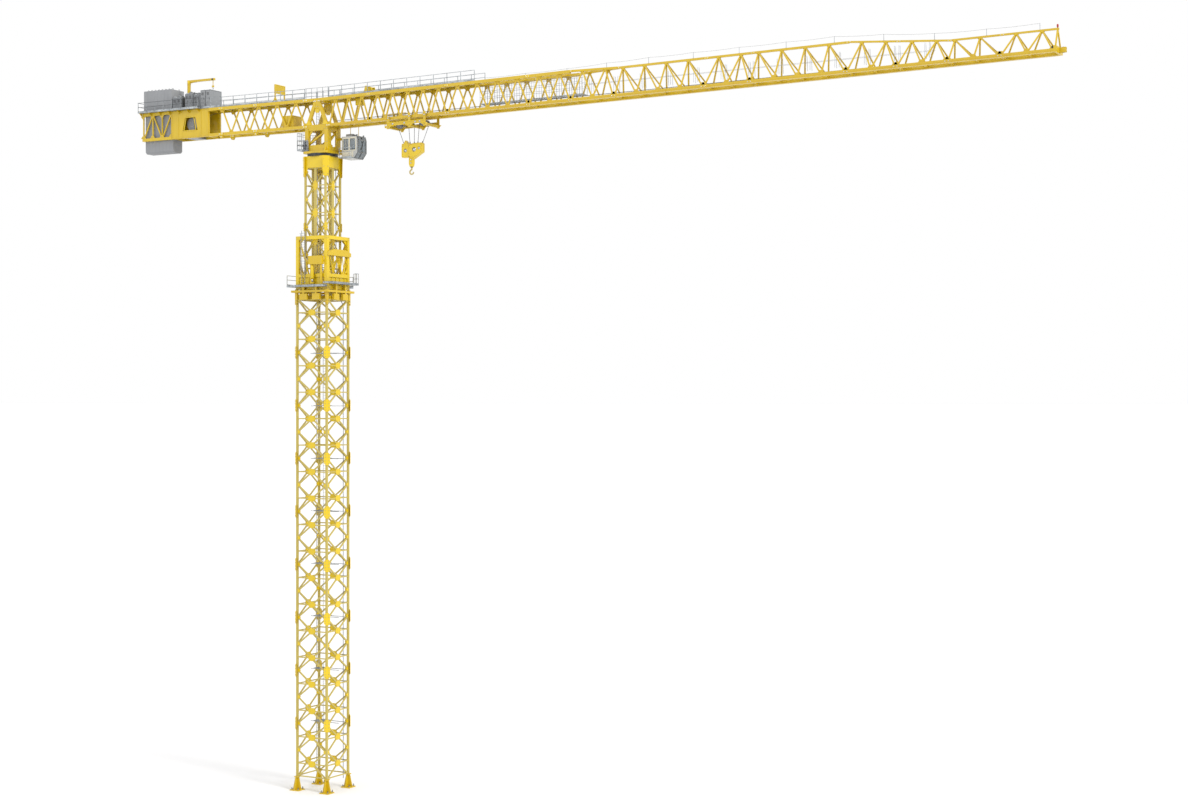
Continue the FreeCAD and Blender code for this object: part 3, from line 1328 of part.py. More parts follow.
def hook():
    """Shank in the hanger's bore, a collar under it, and a round-bar hook."""
    seat = BLOCK_BOTTOM - HANGER_DROP
    x = trolley_middle(0).x + HANGER_OFFSET
    centre = V(x, 0, seat - HOOK_DROP - HOOK_RADIUS)
    shank = rod(V(x, 0, seat + HOOK_SHANK_DEPTH), V(x, 0, seat - HOOK_DROP), HOOK_SHANK)
    collar = rod(V(x, 0, seat - HOOK_GAP), V(x, 0, seat - HOOK_GAP - HOOK_COLLAR_HEIGHT), HOOK_COLLAR)
    circle = Part.makeCircle(HOOK_BAR / 2, centre + Z_AXIS * HOOK_RADIUS, X_AXIS)
    bend = Part.Face(Part.Wire(circle)).revolve(centre, Y_AXIS, -HOOK_SWEEP)
    angle = math.radians(90 + HOOK_SWEEP)
    tip = centre + V(math.cos(angle) * HOOK_RADIUS, 0, math.sin(angle) * HOOK_RADIUS)
    ball = Part.makeSphere(HOOK_BAR / 2, tip)
    return joined([shank, collar, bend, ball])


def hoist_ropes():
    """Taut rope falls, each tangent to a trolley sheave, down to the hook block."""
    middle = trolley_middle(0).x
    level = CHORD_BOTTOM + TROLLEY_X * PITCH_SIN - SHEAVE_LEVEL
    foot = BLOCK_TOP + ROPE_GAP
    falls = []
    for index, (sheave, side, below) in enumerate(ROPE_FALLS):
        place, diameter = TROLLEY_SHEAVES[sheave]
        reach = (diameter + ROPE_DIAMETER) / 2 + ROPE_SHEAVE_GAP
        y = (-1 if index % 2 else 1) * SHEAVE_TRACK
        offset_x = place * PITCH_COS + SHEAVE_LEVEL * PITCH_SIN - below
        offset_z = level + place * PITCH_SIN - foot
        steep = math.atan2(offset_z, offset_x) - side * math.asin(reach / math.hypot(offset_x, offset_z))
        top = V(middle + below + (level - foot) / math.tan(steep), y, level)
        falls.append(rod(top, V(middle + below, y, foot), ROPE_DIAMETER))
    return falls


def build_parts():
    """Every sub-part of the crane by name."""
    mast_nodes = []
    for index in range(MAST_SECTIONS * MAST_PANELS_PER_SECTION + 1):
        mast_nodes.append(FOOT_HEIGHT + index * MAST_SECTION / MAST_PANELS_PER_SECTION)
    inner_nodes = []
    for index in range(INNER_PANELS + 1):
        inner_nodes.append(INNER_TOP - INNER_TOP_STRIP - (INNER_PANELS - index) * INNER_PANEL)
    mast_sizes = (MAST_DIAGONAL, MAST_HORIZONTAL, MAST_EDGE, 0)
    inner_sizes = (INNER_DIAGONAL, INNER_HORIZONTAL, INNER_EDGE, INNER_RAIL)
    parts = {
        "anchor_feet": anchor_feet(),
        "mast_legs": mast_legs(MAST_PITCH, MAST_LEG, FOOT_HEIGHT, MAST_TOP),
        "inner_mast_legs": mast_legs(INNER_PITCH, INNER_LEG, INNER_BOTTOM, INNER_TOP),
        "support_beams": support_beams(),
        "climbing_shoes": climbing_shoes(),
        "climbing_frame": climbing_frame(),
        "climbing_guides": climbing_guides(),
        "climbing_gear": climbing_gear(),
        "climbing_brackets": climbing_brackets(),
        "climbing_platform": climbing_platform(),
        "climbing_railing": climbing_railing(),
        "ring_support": ring_support(),
        "slewing_ring_fixed": slewing_ring_fixed(),
        "slewing_ring_turning": slewing_ring_turning(),
        "turntable": turntable(),
        "slewing_drives": slewing_drives(),
        "tower_head": tower_head(),
        "head_platform": head_platform(),
        "cab_shell": cab_shell(),
        "cab_glazing": cab_glazing(),
        "cab_supports": cab_supports(),
        "cab_walkway": cab_walkway(),
        "jib_tip": jib_tip(),
        "jib_walkway": jib_walkway(),
        "jib_railings": jib_railings(),
        "counter_jib_truss": counter_jib_truss(),
        "counter_jib_rear": counter_jib_rear(),
        "counter_jib_deck": counter_jib_deck(),
        "counter_jib_railings": counter_jib_railings(),
        "counterweights": counterweights(),
        "hoist_winch": hoist_winch(),
        "deck_machinery": deck_machinery(),
        "deck_cabinets": deck_cabinets(),
        "davit_post": davit_post(),
        "davit_arm": davit_arm(),
        "portal_board": portal_board(),
        "trolley_frame": trolley_frame(),
        "trolley_wheels": trolley_wheels(),
        "trolley_basket": trolley_basket(),
        "hook_block": hook_block(),
        "hoist_ropes": hoist_ropes(),
        "hook": hook(),
    }
    parts.update(
        mast_faces(
            "mast_bracing", MAST_PITCH, MAST_LEG, MAST_BRACE_THICKNESS, mast_nodes, FOOT_HEIGHT, MAST_TOP, mast_sizes
        )
    )
    parts.update(
        mast_faces(
            "inner_bracing", INNER_PITCH, INNER_LEG, INNER_BRACE_THICKNESS, inner_nodes, INNER_BOTTOM, INNER_TOP,
            inner_sizes
        )
    )
    parts.update(jib_sections())
    return parts


def main():
    """Write one STEP file for each sub-part."""
    os.makedirs("parts", exist_ok=True)
    for name, shape in build_parts().items():
        solids = shape if isinstance(shape, list) else [shape]
        whole = solids[0] if len(solids) == 1 else Part.makeCompound(solids)
        whole.exportStep(os.path.join("parts", name + ".step"))
        print(name, len(whole.Solids), "solids", round(whole.Volume / 1000.0, 1), "cm3")


main()
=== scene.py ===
import json
import math

import bpy
import bmesh
from mathutils import Matrix, Vector


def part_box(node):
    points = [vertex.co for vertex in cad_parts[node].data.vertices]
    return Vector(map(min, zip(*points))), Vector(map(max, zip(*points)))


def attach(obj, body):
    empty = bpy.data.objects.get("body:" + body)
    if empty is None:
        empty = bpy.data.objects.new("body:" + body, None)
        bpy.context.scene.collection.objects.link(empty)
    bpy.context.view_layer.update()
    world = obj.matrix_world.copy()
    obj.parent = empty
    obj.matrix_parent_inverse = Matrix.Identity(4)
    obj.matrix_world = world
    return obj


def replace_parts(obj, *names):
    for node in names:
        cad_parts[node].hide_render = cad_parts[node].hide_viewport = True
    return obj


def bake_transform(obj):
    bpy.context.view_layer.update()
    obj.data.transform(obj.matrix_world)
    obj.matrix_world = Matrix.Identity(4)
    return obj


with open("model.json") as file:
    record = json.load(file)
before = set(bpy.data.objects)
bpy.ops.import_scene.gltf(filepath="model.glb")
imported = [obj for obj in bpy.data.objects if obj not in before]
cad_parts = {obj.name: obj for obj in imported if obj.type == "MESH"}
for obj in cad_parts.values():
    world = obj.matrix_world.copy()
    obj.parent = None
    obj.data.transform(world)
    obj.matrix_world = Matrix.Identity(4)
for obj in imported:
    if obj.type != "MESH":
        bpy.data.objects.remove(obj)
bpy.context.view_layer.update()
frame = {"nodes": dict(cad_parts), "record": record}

# Metres, in the part's own frame: +X out along the jib, +Y the cab's side, +Z up.
X = Vector((1, 0, 0))
Y = Vector((0, 1, 0))
Z = Vector((0, 0, 1))

MAST_LEG = 0.200
MAST_LEG_HALF = 0.0105
SECTION = 0.585
FOOT = 0.155
INNER_LEG = 0.136
INNER_LEG_HALF = 0.0095
INNER_LOW = 5.455
INNER_TOP = 6.874
CAGE_LOW = 5.531
CAGE_TOP = 6.116
RING_LOW = 7.002
TABLE_TOP = 7.056
CHORD_LOW = 7.317
CHORD_Y = 0.100
CHORD_HEIGHT = 0.033
JIB_HEIGHT = 0.325
TIP_HEIGHT = 0.235
TRUSS_TOP = 7.642
DECK_TOP = 7.654
PITCH = math.radians(1.0)
BUMP_DEPTH = 0.001
CAGE_POST = 0.1915
PLATFORM_IN = 0.2135
PLATFORM_OUT = 0.2832
PLATFORM_TOP = 5.577
HEAD_LEG_X = 0.131
SLAB_SHOULDER = 7.6425
DAVIT_X = -1.898
TROLLEY_X = 1.195
SHEAVE_DROP = 0.048
BLOCK_TOP = 7.082
MACHINES = ((1.656, 0.100, 0.190, 0.188), (1.762, 0.112, 0.206, 0.206), (1.922, 0.132, 0.214, 0.176))
JIB_SECTIONS = ((0.1541, 0.7, 0.182, 0.091), (0.7, 1.7, 0.2, 0.1), (1.7, 2.7, 0.25, 0.125),
                (2.7, 3.2, 0.25, 0.125),
                (3.2, 3.7, 0.25, 0.125), (3.7, 4.7, 0.25, 0.05), (4.7, 5.2, 0.25, 0.125), (5.2, 6.2, 0.25,
                                                                                           0.05),
                (6.2, 6.7, 0.25, 0.125), (6.7, 7.2, 0.25, 0.125), (7.2, 7.7, 0.25, 0.04), (7.7, 8.2, 0.25,
                                                                                           0.125))


# Materials

def linear(r, g, b):
    """Linear colour from 0-255 display values."""
    out = []
    for c in (r, g, b):
        c /= 255.0
        out.append(c / 12.92 if c <= 0.04045 else ((c + 0.055) / 1.055) ** 2.4)
    return (*out, 1.0)


def grey(value):
    return (value, value, value, 1)


class Shader:
    """Small helper that wires up one procedural material."""

    def __init__(self, name, metallic=0.0, rough=(0.4, 0.6), coat=0.0):
        self.mat = bpy.data.materials.new(name)
        self.mat.use_nodes = True
        self.tree = self.mat.node_tree
        self.tree.nodes.clear()
        self.out = self.new("ShaderNodeOutputMaterial")
        self.bsdf = self.new("ShaderNodeBsdfPrincipled")
        self.link(self.bsdf.outputs["BSDF"], self.out.inputs["Surface"])
        self.bsdf.inputs["Metallic"].default_value = metallic
        self.bsdf.inputs["Coat Weight"].default_value = coat
        self.coord = self.new("ShaderNodeTexCoord").outputs["Object"]
        self.rough = rough

    def new(self, kind):
        return self.tree.nodes.new(kind)

    def link(self, a, b):
        self.tree.links.new(a, b)

    def noise(self, scale, detail=4.0, stretch=None):
        node = self.new("ShaderNodeTexNoise")
        node.inputs["Scale"].default_value = scale
        node.inputs["Detail"].default_value = detail
        source = self.coord
        if stretch:
            mapping = self.new("ShaderNodeMapping")
            mapping.inputs["Scale"].default_value = stretch
            self.link(source, mapping.inputs["Vector"])
            source = mapping.outputs["Vector"]
        self.link(source, node.inputs["Vector"])
        return node.outputs["Fac"]

    def ramp(self, fac, stops):
        node = self.new("ShaderNodeValToRGB")
        ramp = node.color_ramp
        while len(ramp.elements) < len(stops):
            ramp.elements.new(0.5)
        for element, (place, colour) in zip(ramp.elements, stops):
            element.position = place
            element.color = colour
        self.link(fac, node.inputs["Fac"])
        return node.outputs["Color"]

    def mix(self, fac, a, b):
        node = self.new("ShaderNodeMix")
        node.data_type = "RGBA"
        for value, socket in ((fac, node.inputs[0]), (a, node.inputs[6]), (b, node.inputs[7])):
            if hasattr(value, "default_value") or hasattr(value, "is_output"):
                self.link(value, socket)
            else:
                socket.default_value = value
        return node.outputs[2]

    def finish(self, colour, rough_source, bump=None, strength=0.1):
        self.link(colour, self.bsdf.inputs["Base Color"])
        low, high = self.rough
        value = self.ramp(rough_source, [(0.3, grey(low)), (0.7, grey(high))])
        self.link(value, self.bsdf.inputs["Roughness"])
        if bump is not None:
            node = self.new("ShaderNodeBump")
            node.inputs["Strength"].default_value = strength
            node.inputs["Distance"].default_value = BUMP_DEPTH
            self.link(bump, node.inputs["Height"])
            self.link(node.outputs["Normal"], self.bsdf.inputs["Normal"])
        return self.mat


def painted(name, colour, worn, dirt, rough=(0.32, 0.55), amount=0.35):
    """Paint with slow shade changes, rain streaks and a little dirt."""
    colour, worn, dirt = linear(*colour), linear(*worn), linear(*dirt)
    s = Shader(name, 0.0, rough, 0.15)
    slow = s.noise(2.2, 3.0)
    fine = s.noise(55.0, 5.0)
    streak = s.noise(9.0, 4.0, (6.0, 6.0, 0.45))
    base = s.ramp(slow, [(0.3, colour), (0.72, worn)])
    grime = s.ramp(streak, [(0.52, grey(0)), (0.78, grey(amount))])
    base = s.mix(grime, base, dirt)
    speck = s.ramp(fine, [(0.66, grey(0)), (0.74, grey(amount * 0.8))])
    base = s.mix(speck, base, dirt)
    return s.finish(base, streak, fine, 0.06)


def metal(name, dark, light, rough=(0.35, 0.6), metallic=0.85, scale=38.0):
    """Bare or galvanised metal with a crystal pattern and smudges."""
    dark, light = linear(*dark), linear(*light)
    s = Shader(name, metallic, rough)
    cells = s.new("ShaderNodeTexVoronoi")
    cells.inputs["Scale"].default_value = scale
    s.link(s.coord, cells.inputs["Vector"])
    smudge = s.noise(7.0, 5.0)
    shade = s.ramp(cells.outputs["Distance"], [(0.1, dark), (0.9, light)])
    base = s.mix(s.ramp(smudge, [(0.35, grey(0)), (0.75, grey(0.5))]), shade, dark)
    return s.finish(base, smudge, s.noise(160.0, 2.0), 0.05)


def cast(name, dark, light, spots):
    """Concrete with blotches, pores and streaks from the top edge."""
    dark, light, spots = linear(*dark), linear(*light), linear(*spots)
    s = Shader(name, 0.0, (0.78, 0.95))
    blotch = s.noise(5.5, 6.0)
    grain = s.noise(140.0, 4.0)
    streak = s.noise(14.0, 4.0, (5.0, 5.0, 0.35))
    pores = s.new("ShaderNodeTexVoronoi")
    pores.inputs["Scale"].default_value = 85.0
    s.link(s.coord, pores.inputs["Vector"])
    base = s.ramp(blotch, [(0.3, dark), (0.7, light)])
    base = s.mix(s.ramp(streak, [(0.5, grey(0)), (0.8, grey(0.1))]), base, spots)
    hole = s.ramp(pores.outputs["Distance"], [(0.06, grey(0.3)), (0.16, grey(0))])
    base = s.mix(hole, base, spots)
    return s.finish(base, grain, grain, 0.35)


def glazing(name):
    """Tinted cab glass with faint dust."""
    s = Shader(name, 0.0, (0.03, 0.12), 0.5)
    dust = s.noise(24.0, 6.0)
    base = s.ramp(dust, [(0.3, linear(150, 162, 170)), (0.75, linear(178, 188, 192))])
    s.bsdf.inputs["Transmission Weight"].default_value = 0.72
    s.bsdf.inputs["IOR"].default_value = 1.45
    return s.finish(base, dust)


def twisted(name, dark, light):
    """Wire rope with strands running round it."""
    dark, light = linear(*dark), linear(*light)
    s = Shader(name, 0.7, (0.4, 0.65))
    wave = s.new("ShaderNodeTexWave")
    wave.wave_type = "BANDS"
    wave.bands_direction = "DIAGONAL"
    wave.inputs["Scale"].default_value = 90.0
    wave.inputs["Distortion"].default_value = 0.6
    s.link(s.coord, wave.inputs["Vector"])
    base = s.ramp(wave.outputs["Fac"], [(0.2, dark), (0.8, light)])
    return s.finish(base, s.noise(30.0), wave.outputs["Fac"], 0.4)


YELLOW = painted("yellow_paint", (203, 172, 12), (196, 164, 12), (150, 128, 40), amount=0.2)
# Duller, greyer copy of the yellow paint for the mast members: painted shade standing in for the shade on their thin
# sides.
SHADED_YELLOW = painted("pale_yellow", (188, 170, 84), (178, 160, 78), (140, 128, 80), amount=0.2)
YELLOW_FRESH = painted("yellow_fresh", (218, 188, 8), (211, 180, 8), (164, 140, 34), (0.3, 0.45), 0.12)
GREY = painted("grey_paint", (118, 121, 124), (106, 110, 114), (76, 76, 74))
PALE = painted("pale_paint", (146, 148, 150), (134, 137, 140), (94, 94, 92))
CAB = painted("cab_paint", (188, 189, 187), (176, 178, 177), (126, 124, 118), amount=0.2)
CREAM = painted("cream_paint", (226, 221, 200), (214, 208, 188), (150, 142, 120), amount=0.2)
BLACK = painted("black_paint", (34, 34, 36), (46, 46, 48), (80, 76, 70), (0.45, 0.7), 0.3)
RUBBER = painted("rubber", (24, 24, 25), (34, 34, 35), (62, 60, 56), (0.7, 0.9), 0.3)
RED = painted("signal_red", (176, 34, 26), (160, 30, 24), (96, 30, 24), amount=0.2)
HOOK_PAINT = painted("hook_paint", (188, 170, 104), (168, 152, 96), (110, 100, 70))
GALV = metal("galvanised", (128, 133, 136), (182, 187, 190))
STEEL = metal("dark_steel", (52, 54, 57), (84, 86, 88), (0.35, 0.55), 0.8, 60.0)
BRIGHT = metal("bright_steel", (158, 160, 162), (206, 208, 210), (0.18, 0.35), 0.95, 90.0)
ZINC = metal("zinc_bolts", (138, 134, 118), (190, 186, 170), (0.3, 0.5), 0.9, 120.0)
CONCRETE = cast("concrete", (138, 140, 143), (147, 149, 152), (128, 129, 130))
GLASS = glazing("cab_glass")
ROPE = twisted("wire_rope", (52, 52, 54), (122, 122, 122))
FABRIC = painted("seat_fabric", (46, 52, 62), (38, 42, 50), (70, 70, 72), (0.8, 0.95), 0.2)
SCREEN = painted("screen", (24, 40, 52), (30, 52, 66), (20, 24, 30), (0.08, 0.15), 0.1)
LENS = painted("lamp_lens", (224, 228, 226), (206, 212, 212), (160, 162, 160), (0.05, 0.15), 0.1)

SLOTS = {"yellow_paint": YELLOW, "galvanised_steel": GALV, "dark_steel": STEEL, "grey_paint": GREY,
         "cab_paint": CAB, "cab_glass": GLASS, "concrete": CONCRETE, "wire_rope": ROPE}


# Mesh building

def angles(count):
    """Equal steps round a full turn."""
    return [math.tau * i / count for i in range(count)]


def circle(centre, side, top, radius, count):
    """Points round centre, in the plane of side and top."""
    return [centre + (side * math.cos(t) + top * math.sin(t)) * radius for t in angles(count)]


def pin_cap(radius, hub):
    """Profile of a pin's retaining cap."""
    return [(0, radius), (0.003, radius), (0.0031, hub), (0.005, hub)]


class Piece:
    """One named mesh made of many small solids, each with its own material."""

    def __init__(self, name, body, slot, *materials):
        self.name = name
        self.body = body
        self.slot = slot
        self.materials = list(materials)
        self.bm = bmesh.new()
        self.tilt = None

    def hull(self, rings, mat=0, smooth=False):
        """Skin between equal rings of points."""
        made = [[self.bm.verts.new(self.place(p)) for p in ring] for ring in rings]
        count = len(made[0])
        for low, high in zip(made, made[1:]):
            for i in range(count):
                face = self.bm.faces.new((low[i], low[(i + 1) % count], high[(i + 1) % count], high[i]))
                face.material_index = mat
                face.smooth = smooth
        for ring in (made[0][::-1], made[-1]):
            self.bm.faces.new(ring).material_index = mat

    def place(self, point):
        point = Vector(point)
        return self.tilt @ point if self.tilt else point

    def box(self, x0, x1, y0, y1, z0, z1, mat=0, bevel=0.0):
        """Box between limits given in either order, its edges taken off by bevel."""
        (x0, x1), (y0, y1), (z0, z1) = sorted((x0, x1)), sorted((y0, y1)), sorted((z0, z1))
        b = min(bevel, (x1 - x0) / 2.2, (y1 - y0) / 2.2, (z1 - z0) / 2.2)
        if b <= 0:
            self.hull([[(x0, y0, z), (x1, y0, z), (x1, y1, z), (x0, y1, z)] for z in (z0, z1)], mat)
            return

        def ring(z, d):
            left, right, near, far = x0 + d, x1 - d, y0 + d, y1 - d
            return [(left + b, near, z), (right - b, near, z), (right, near + b, z), (right, far - b, z),
                    (right - b, far, z), (left + b, far, z), (left, far - b, z), (left, near + b, z)]
        self.hull([ring(z0, b * 0.7), ring(z0 + b, 0), ring(z1 - b, 0), ring(z1, b * 0.7)], mat)

    def cube(self, x, y, z, sx, sy, sz, mat=0, bevel=0.0):
        self.box(x - sx / 2, x + sx / 2, y - sy / 2, y + sy / 2, z - sz / 2, z + sz / 2, mat, bevel)

    def frame_of(self, a, b, up):
        a, b = Vector(a), Vector(b)
        run = (b - a).normalized()
        side = run.cross(Vector(up))
        if side.length < 1e-4:
            side = run.cross(X if abs(run.x) < 0.9 else Y)
        side.normalize()
        return a, b, side, side.cross(run).normalized()

    def beam(self, a, b, width, depth, mat=0, up=Z):
        """Rectangular bar from a to b."""
        a, b, side, top = self.frame_of(a, b, up)
        w, d = side * width / 2, top * depth / 2
        self.hull([[p - w - d, p + w - d, p + w + d, p - w + d] for p in (a, b)], mat)

    def post(self, x, y, low, high, width, mat=0):
        """Square bar standing upright."""
        self.beam((x, y, low), (x, y, high), width, width, mat, X)

    def tube(self, a, b, radius, mat=0, segments=10):
        """Round bar from a to b."""
        a, b, side, top = self.frame_of(a, b, Z)
        self.hull([circle(p, side, top, radius, segments) for p in (a, b)], mat, True)

    def turned(self, origin, axis, profile, mat=0, segments=16):
        """Solid of revolution: profile is (distance along axis, radius)."""
        origin, axis = Vector(origin), Vector(axis)
        _, _, side, top = self.frame_of(origin, origin + axis, Z)
        self.hull([circle(origin + axis * d, side, top, r, segments) for d, r in profile], mat, True)

    def path(self, points, radius, mat=0, segments=8):
        """Round bar along a line of points."""
        points = [Vector(p) for p in points]
        rings = []
        side = None
        for i, p in enumerate(points):
            run = (points[min(i + 1, len(points) - 1)] - points[max(i - 1, 0)]).normalized()
            if side is None:
                side = run.orthogonal().normalized()
            side = (side - run * side.dot(run)).normalized()
            top = side.cross(run)
            rings.append(circle(p, side, top, radius, segments))
        self.hull(rings, mat, True)

    def plate(self, points, run, mat=0):
        """Flat plate of any outline, as thick as run is long."""
        run = Vector(run)
        low = [Vector(p) - run / 2 for p in points]
        normal = sum(((low[i] - low[0]).cross(low[(i + 1) % len(low)] - low[0]) for i in range(1, len(low))),
                     Vector())
        if normal.dot(run) < 0:
            low.reverse()
        self.hull([low, [p + run for p in low]], mat)

    def bolt(self, at, axis, radius, height, mat=0):
        """Washer and hexagon head standing on a face."""
        at, axis = Vector(at), Vector(axis).normalized()
        _, _, side, top = self.frame_of(at, at + axis, Z)
        profile = ((0, 1.35), (0.25, 1.35), (0.25, 1.0), (1.0, 1.0))
        self.hull([circle(at + axis * (height * d), side, top, radius * r, 6) for d, r in profile], mat)

    def done(self):
        bmesh.ops.recalc_face_normals(self.bm, faces=self.bm.faces)
        mesh = bpy.data.meshes.new(self.name)
        self.bm.to_mesh(mesh)
        self.bm.free()
        for material in self.materials:
            mesh.materials.append(material)
        obj = bpy.data.objects.new(self.name, mesh)
        bpy.context.scene.collection.objects.link(obj)
        if self.body:
            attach(obj, self.body)
        return obj


TILT = Matrix.Translation((0, 0, CHORD_LOW)) @ Matrix.Rotation(-PITCH, 4,
                                                               "Y") @ Matrix.Translation((0, 0, -CHORD_LOW))
ALL_SIDES = ((1, 1), (-1, 1), (-1, -1), (1, -1))
FACES = ((1, 0), (-1, 0), (0, 1), (0, -1))


def jib_top(x):
    share = min(1.0, max(0.0, x - 6.2))
    return JIB_HEIGHT + share * (TIP_HEIGHT - JIB_HEIGHT)


def top_spread(x):
    share = min(1.0, max(0.0, (x - 3.2) / 0.5))
    return CHORD_Y + share * (0.011 - CHORD_Y) if x < 3.7 else 0.0


def top_size(x):
    return 0.033 if x < 3.2 else (0.022 if x < 6.2 else 0.018)


def truss_nodes(start, end, bay, lead):
    first, last = start + 0.009, end - 0.009
    count = max(1, round((end - start) / bay))
    pitch = (last - first) / count
    bottom = [first + pitch * i for i in range(count + 1)]
    return bottom, [x + lead * pitch / bay for x in bottom[:-1]]


# Mast

def splices(name, leg, levels, body, width, height, lift):
    """Bright plates across each leg's outer corner, bolted where leg lengths meet."""
    p = Piece(name, body, "yellow_paint", YELLOW_FRESH, ZINC)
    for z in levels:
        for sx, sy in ALL_SIDES:
            out = Vector((sx, sy, 0)).normalized()
            across = Z.cross(out)
            at = Vector((sx * leg, sy * leg, z)) + out * lift
            w, h, c = width / 2, height / 2, width * 0.26
            outline = [(-w, -h + c), (-w + c, -h), (w - c, -h), (w, -h + c), (w, h - c), (w - c, h),
                       (c - w, h), (-w, h - c)]
            p.plate([at + across * a + Z * b for a, b in outline], out * 0.006)
            for a in (-0.28, 0.28):
                for b in (-0.36, -0.14, 0.14, 0.36):
                    p.bolt(at + across * width * a + Z * height * b + out * 0.003, out, 0.0034, 0.0028, 1)
    return p.done()


def face_gussets(name, plane, half, levels, centres, body, size, thick, middle):
    """Gusset plates where the bracing meets the legs and where it crosses."""
    p = Piece(name, body, "yellow_paint", YELLOW_FRESH, ZINC)
    for nx, ny in FACES:
        across = Vector((-ny, nx, 0))
        out = Vector((nx, ny, 0))
        for z in levels:
            for s in (-1, 1):
                at = out * plane + across * (s * half) + Z * z
                w, h = across * (-s * size), Z * size * 0.8
                p.plate([at - h, at + w - h * 0.25, at + w + h * 0.25, at + h], out * thick)
        for z in centres:
            at = out * plane + Z * z
            w, h = across * middle[0], Z * middle[1]
            p.plate([at - w - h * 0.4, at - w * 0.4 - h, at + w * 0.4 - h, at + w - h * 0.4, at + w + h * 0.4,
                     at + w * 0.4 + h, at - w * 0.4 + h, at - w + h * 0.4], out * thick)
            for sx, sz in ALL_SIDES:
                p.bolt(at + w * sx * 0.45 + h * sz * 0.5 + out * thick / 2, out, 0.002, 0.0018, 1)
    return p.done()


mast_joints = [FOOT + SECTION * k for k in range(1, 9)]
splices("mast_splices", MAST_LEG, mast_joints, "tower", 0.068, 0.136, 0.0175)
mast_nodes = [FOOT + SECTION / 2 * k for k in range(0, 19)]
middles = [(a + b) / 2 for a, b in zip(mast_nodes, mast_nodes[1:])]
face_gussets("mast_gussets", MAST_LEG, MAST_LEG - MAST_LEG_HALF, mast_nodes[1:-1], middles, "tower", 0.030,
             0.0155, (0.044, 0.034))


def ladder(p, x, y, low, high, width, mat, pitch=0.030, axis="Y"):
    """Two stiles and rungs, standing upright."""
    dx, dy = (0, width / 2) if axis == "Y" else (width / 2, 0)
    for s in (-1, 1):
        p.post(x + s * dx, y + s * dy, low, high, 0.004, mat)
    for i in range(int((high - low) / pitch)):
        z = low + pitch * (i + 0.5)
        p.tube((x - dx, y - dy, z), (x + dx, y + dy, z), 0.0013, mat, 5)


def grating(p, x0, x1, y0, y1, z, mat, bar=0.0028, pitch=0.012, depth=0.004):
    """Open floor: a rim and bars running along Y."""
    p.box(x0, x1, y0, y0 + bar, z - depth, z, mat)
    p.box(x0, x1, y1 - bar, y1, z - depth, z, mat)
    count = max(2, int((x1 - x0) / pitch))
    for i in range(count + 1):
        x = x0 + (x1 - x0 - 0.0014) * i / count
        p.box(x, x + 0.0014, y0, y1, z - depth, z, mat)


def deck_strips(p, first, last, z, count):
    """Walkway floor: bars across it from first to last, on five runners."""
    for i in range(count):
        x = first + (last - first) * i / (count - 1)
        p.box(x - 0.001, x + 0.001, -0.100, 0.100, z, z + 0.0022)
    for y in (-0.098, -0.05, 0.0, 0.05, 0.098):
        p.box(first - 0.002, last + 0.002, y - 0.0012, y + 0.0012, z, z + 0.003)


climb = Piece("mast_ladders", "tower", "galvanised_steel", GALV)
for k in range(9):
    low = FOOT + SECTION * k + 0.004
    side = 1 if k % 2 else -1
    ladder(climb, side * 0.045 - 0.09, 0.09, low, low + SECTION + 0.05 if k < 8 else low + SECTION - 0.03,
           0.045, 0)
    if k < 8:
        z = low + SECTION - 0.002
        grating(climb, -0.150, 0.010, 0.030, 0.150, z, 0)
        for y in (0.034, 0.146):
            climb.beam((-0.190, y, z - 0.008), (0.190, y, z - 0.008), 0.005, 0.007, 0)
climb.done()

inner_climb = Piece("inner_mast_ladders", "tower", "galvanised_steel", GALV)
ladder(inner_climb, -0.055, 0.0, INNER_LOW + 0.01, INNER_TOP + 0.11, 0.045, 0)
inner_climb.done()

cable = Piece("mast_cable", "tower", "grey_paint", GREY, GALV)
for dx, r in ((0.0, 0.0022), (0.006, 0.0016)):
    points = [(0.155 - dx, 0.172 + 0.0015 * math.sin(i * 1.7 + dx * 300),
               0.10 + i * 0.117) for i in range(46)]
    points += [(0.102 - dx, 0.118, 5.50), (0.100 - dx, 0.112, 6.10), (0.098 - dx, 0.110, 6.90)]
    cable.path(points, r, 0, 6)
for i in range(18):
    z = FOOT + 0.146 + i * SECTION / 2
    cable.box(0.140, 0.186, 0.168, 0.180, z, z + 0.006, 1, 0.001)
cable.done()

feet = Piece("foot_bolts", "tower", "dark_steel", STEEL, ZINC)
for sx, sy in ALL_SIDES:
    for ax in (-0.042, 0.042):
        for ay in (-0.042, 0.042):
            x, y = sx * MAST_LEG + ax, sy * MAST_LEG + ay
            feet.tube((x, y, 0.001), (x, y, 0.036), 0.0040, 0, 10)
            feet.bolt((x, y, 0.012), Z, 0.0072, 0.0075, 1)
            feet.bolt((x, y, 0.020), Z, 0.0072, 0.0060, 1)
    for nx, ny in FACES:
        for k in (-0.010, 0.010):
            at = (sx * MAST_LEG + nx * 0.018 + ny * k, sy * MAST_LEG + ny * 0.018 + nx * k, 0.155 - 0.010)
            feet.bolt(at, -Z, 0.0036, 0.004, 1)
feet.done()

inner_nodes = [INNER_TOP - 0.043 - 0.3045 * k for k in range(0, 5)]
splices("inner_splices", INNER_LEG, [inner_nodes[2], INNER_LOW + 0.05], "tower", 0.037, 0.095, 0.0160)
inner_mid = [(a + b) / 2 for a, b in zip(inner_nodes, inner_nodes[1:])]
face_gussets("inner_gussets", INNER_LEG, INNER_LEG - INNER_LEG_HALF, inner_nodes, inner_mid, "tower", 0.026,
             0.0125, (0.027, 0.052))


# Climbing frame

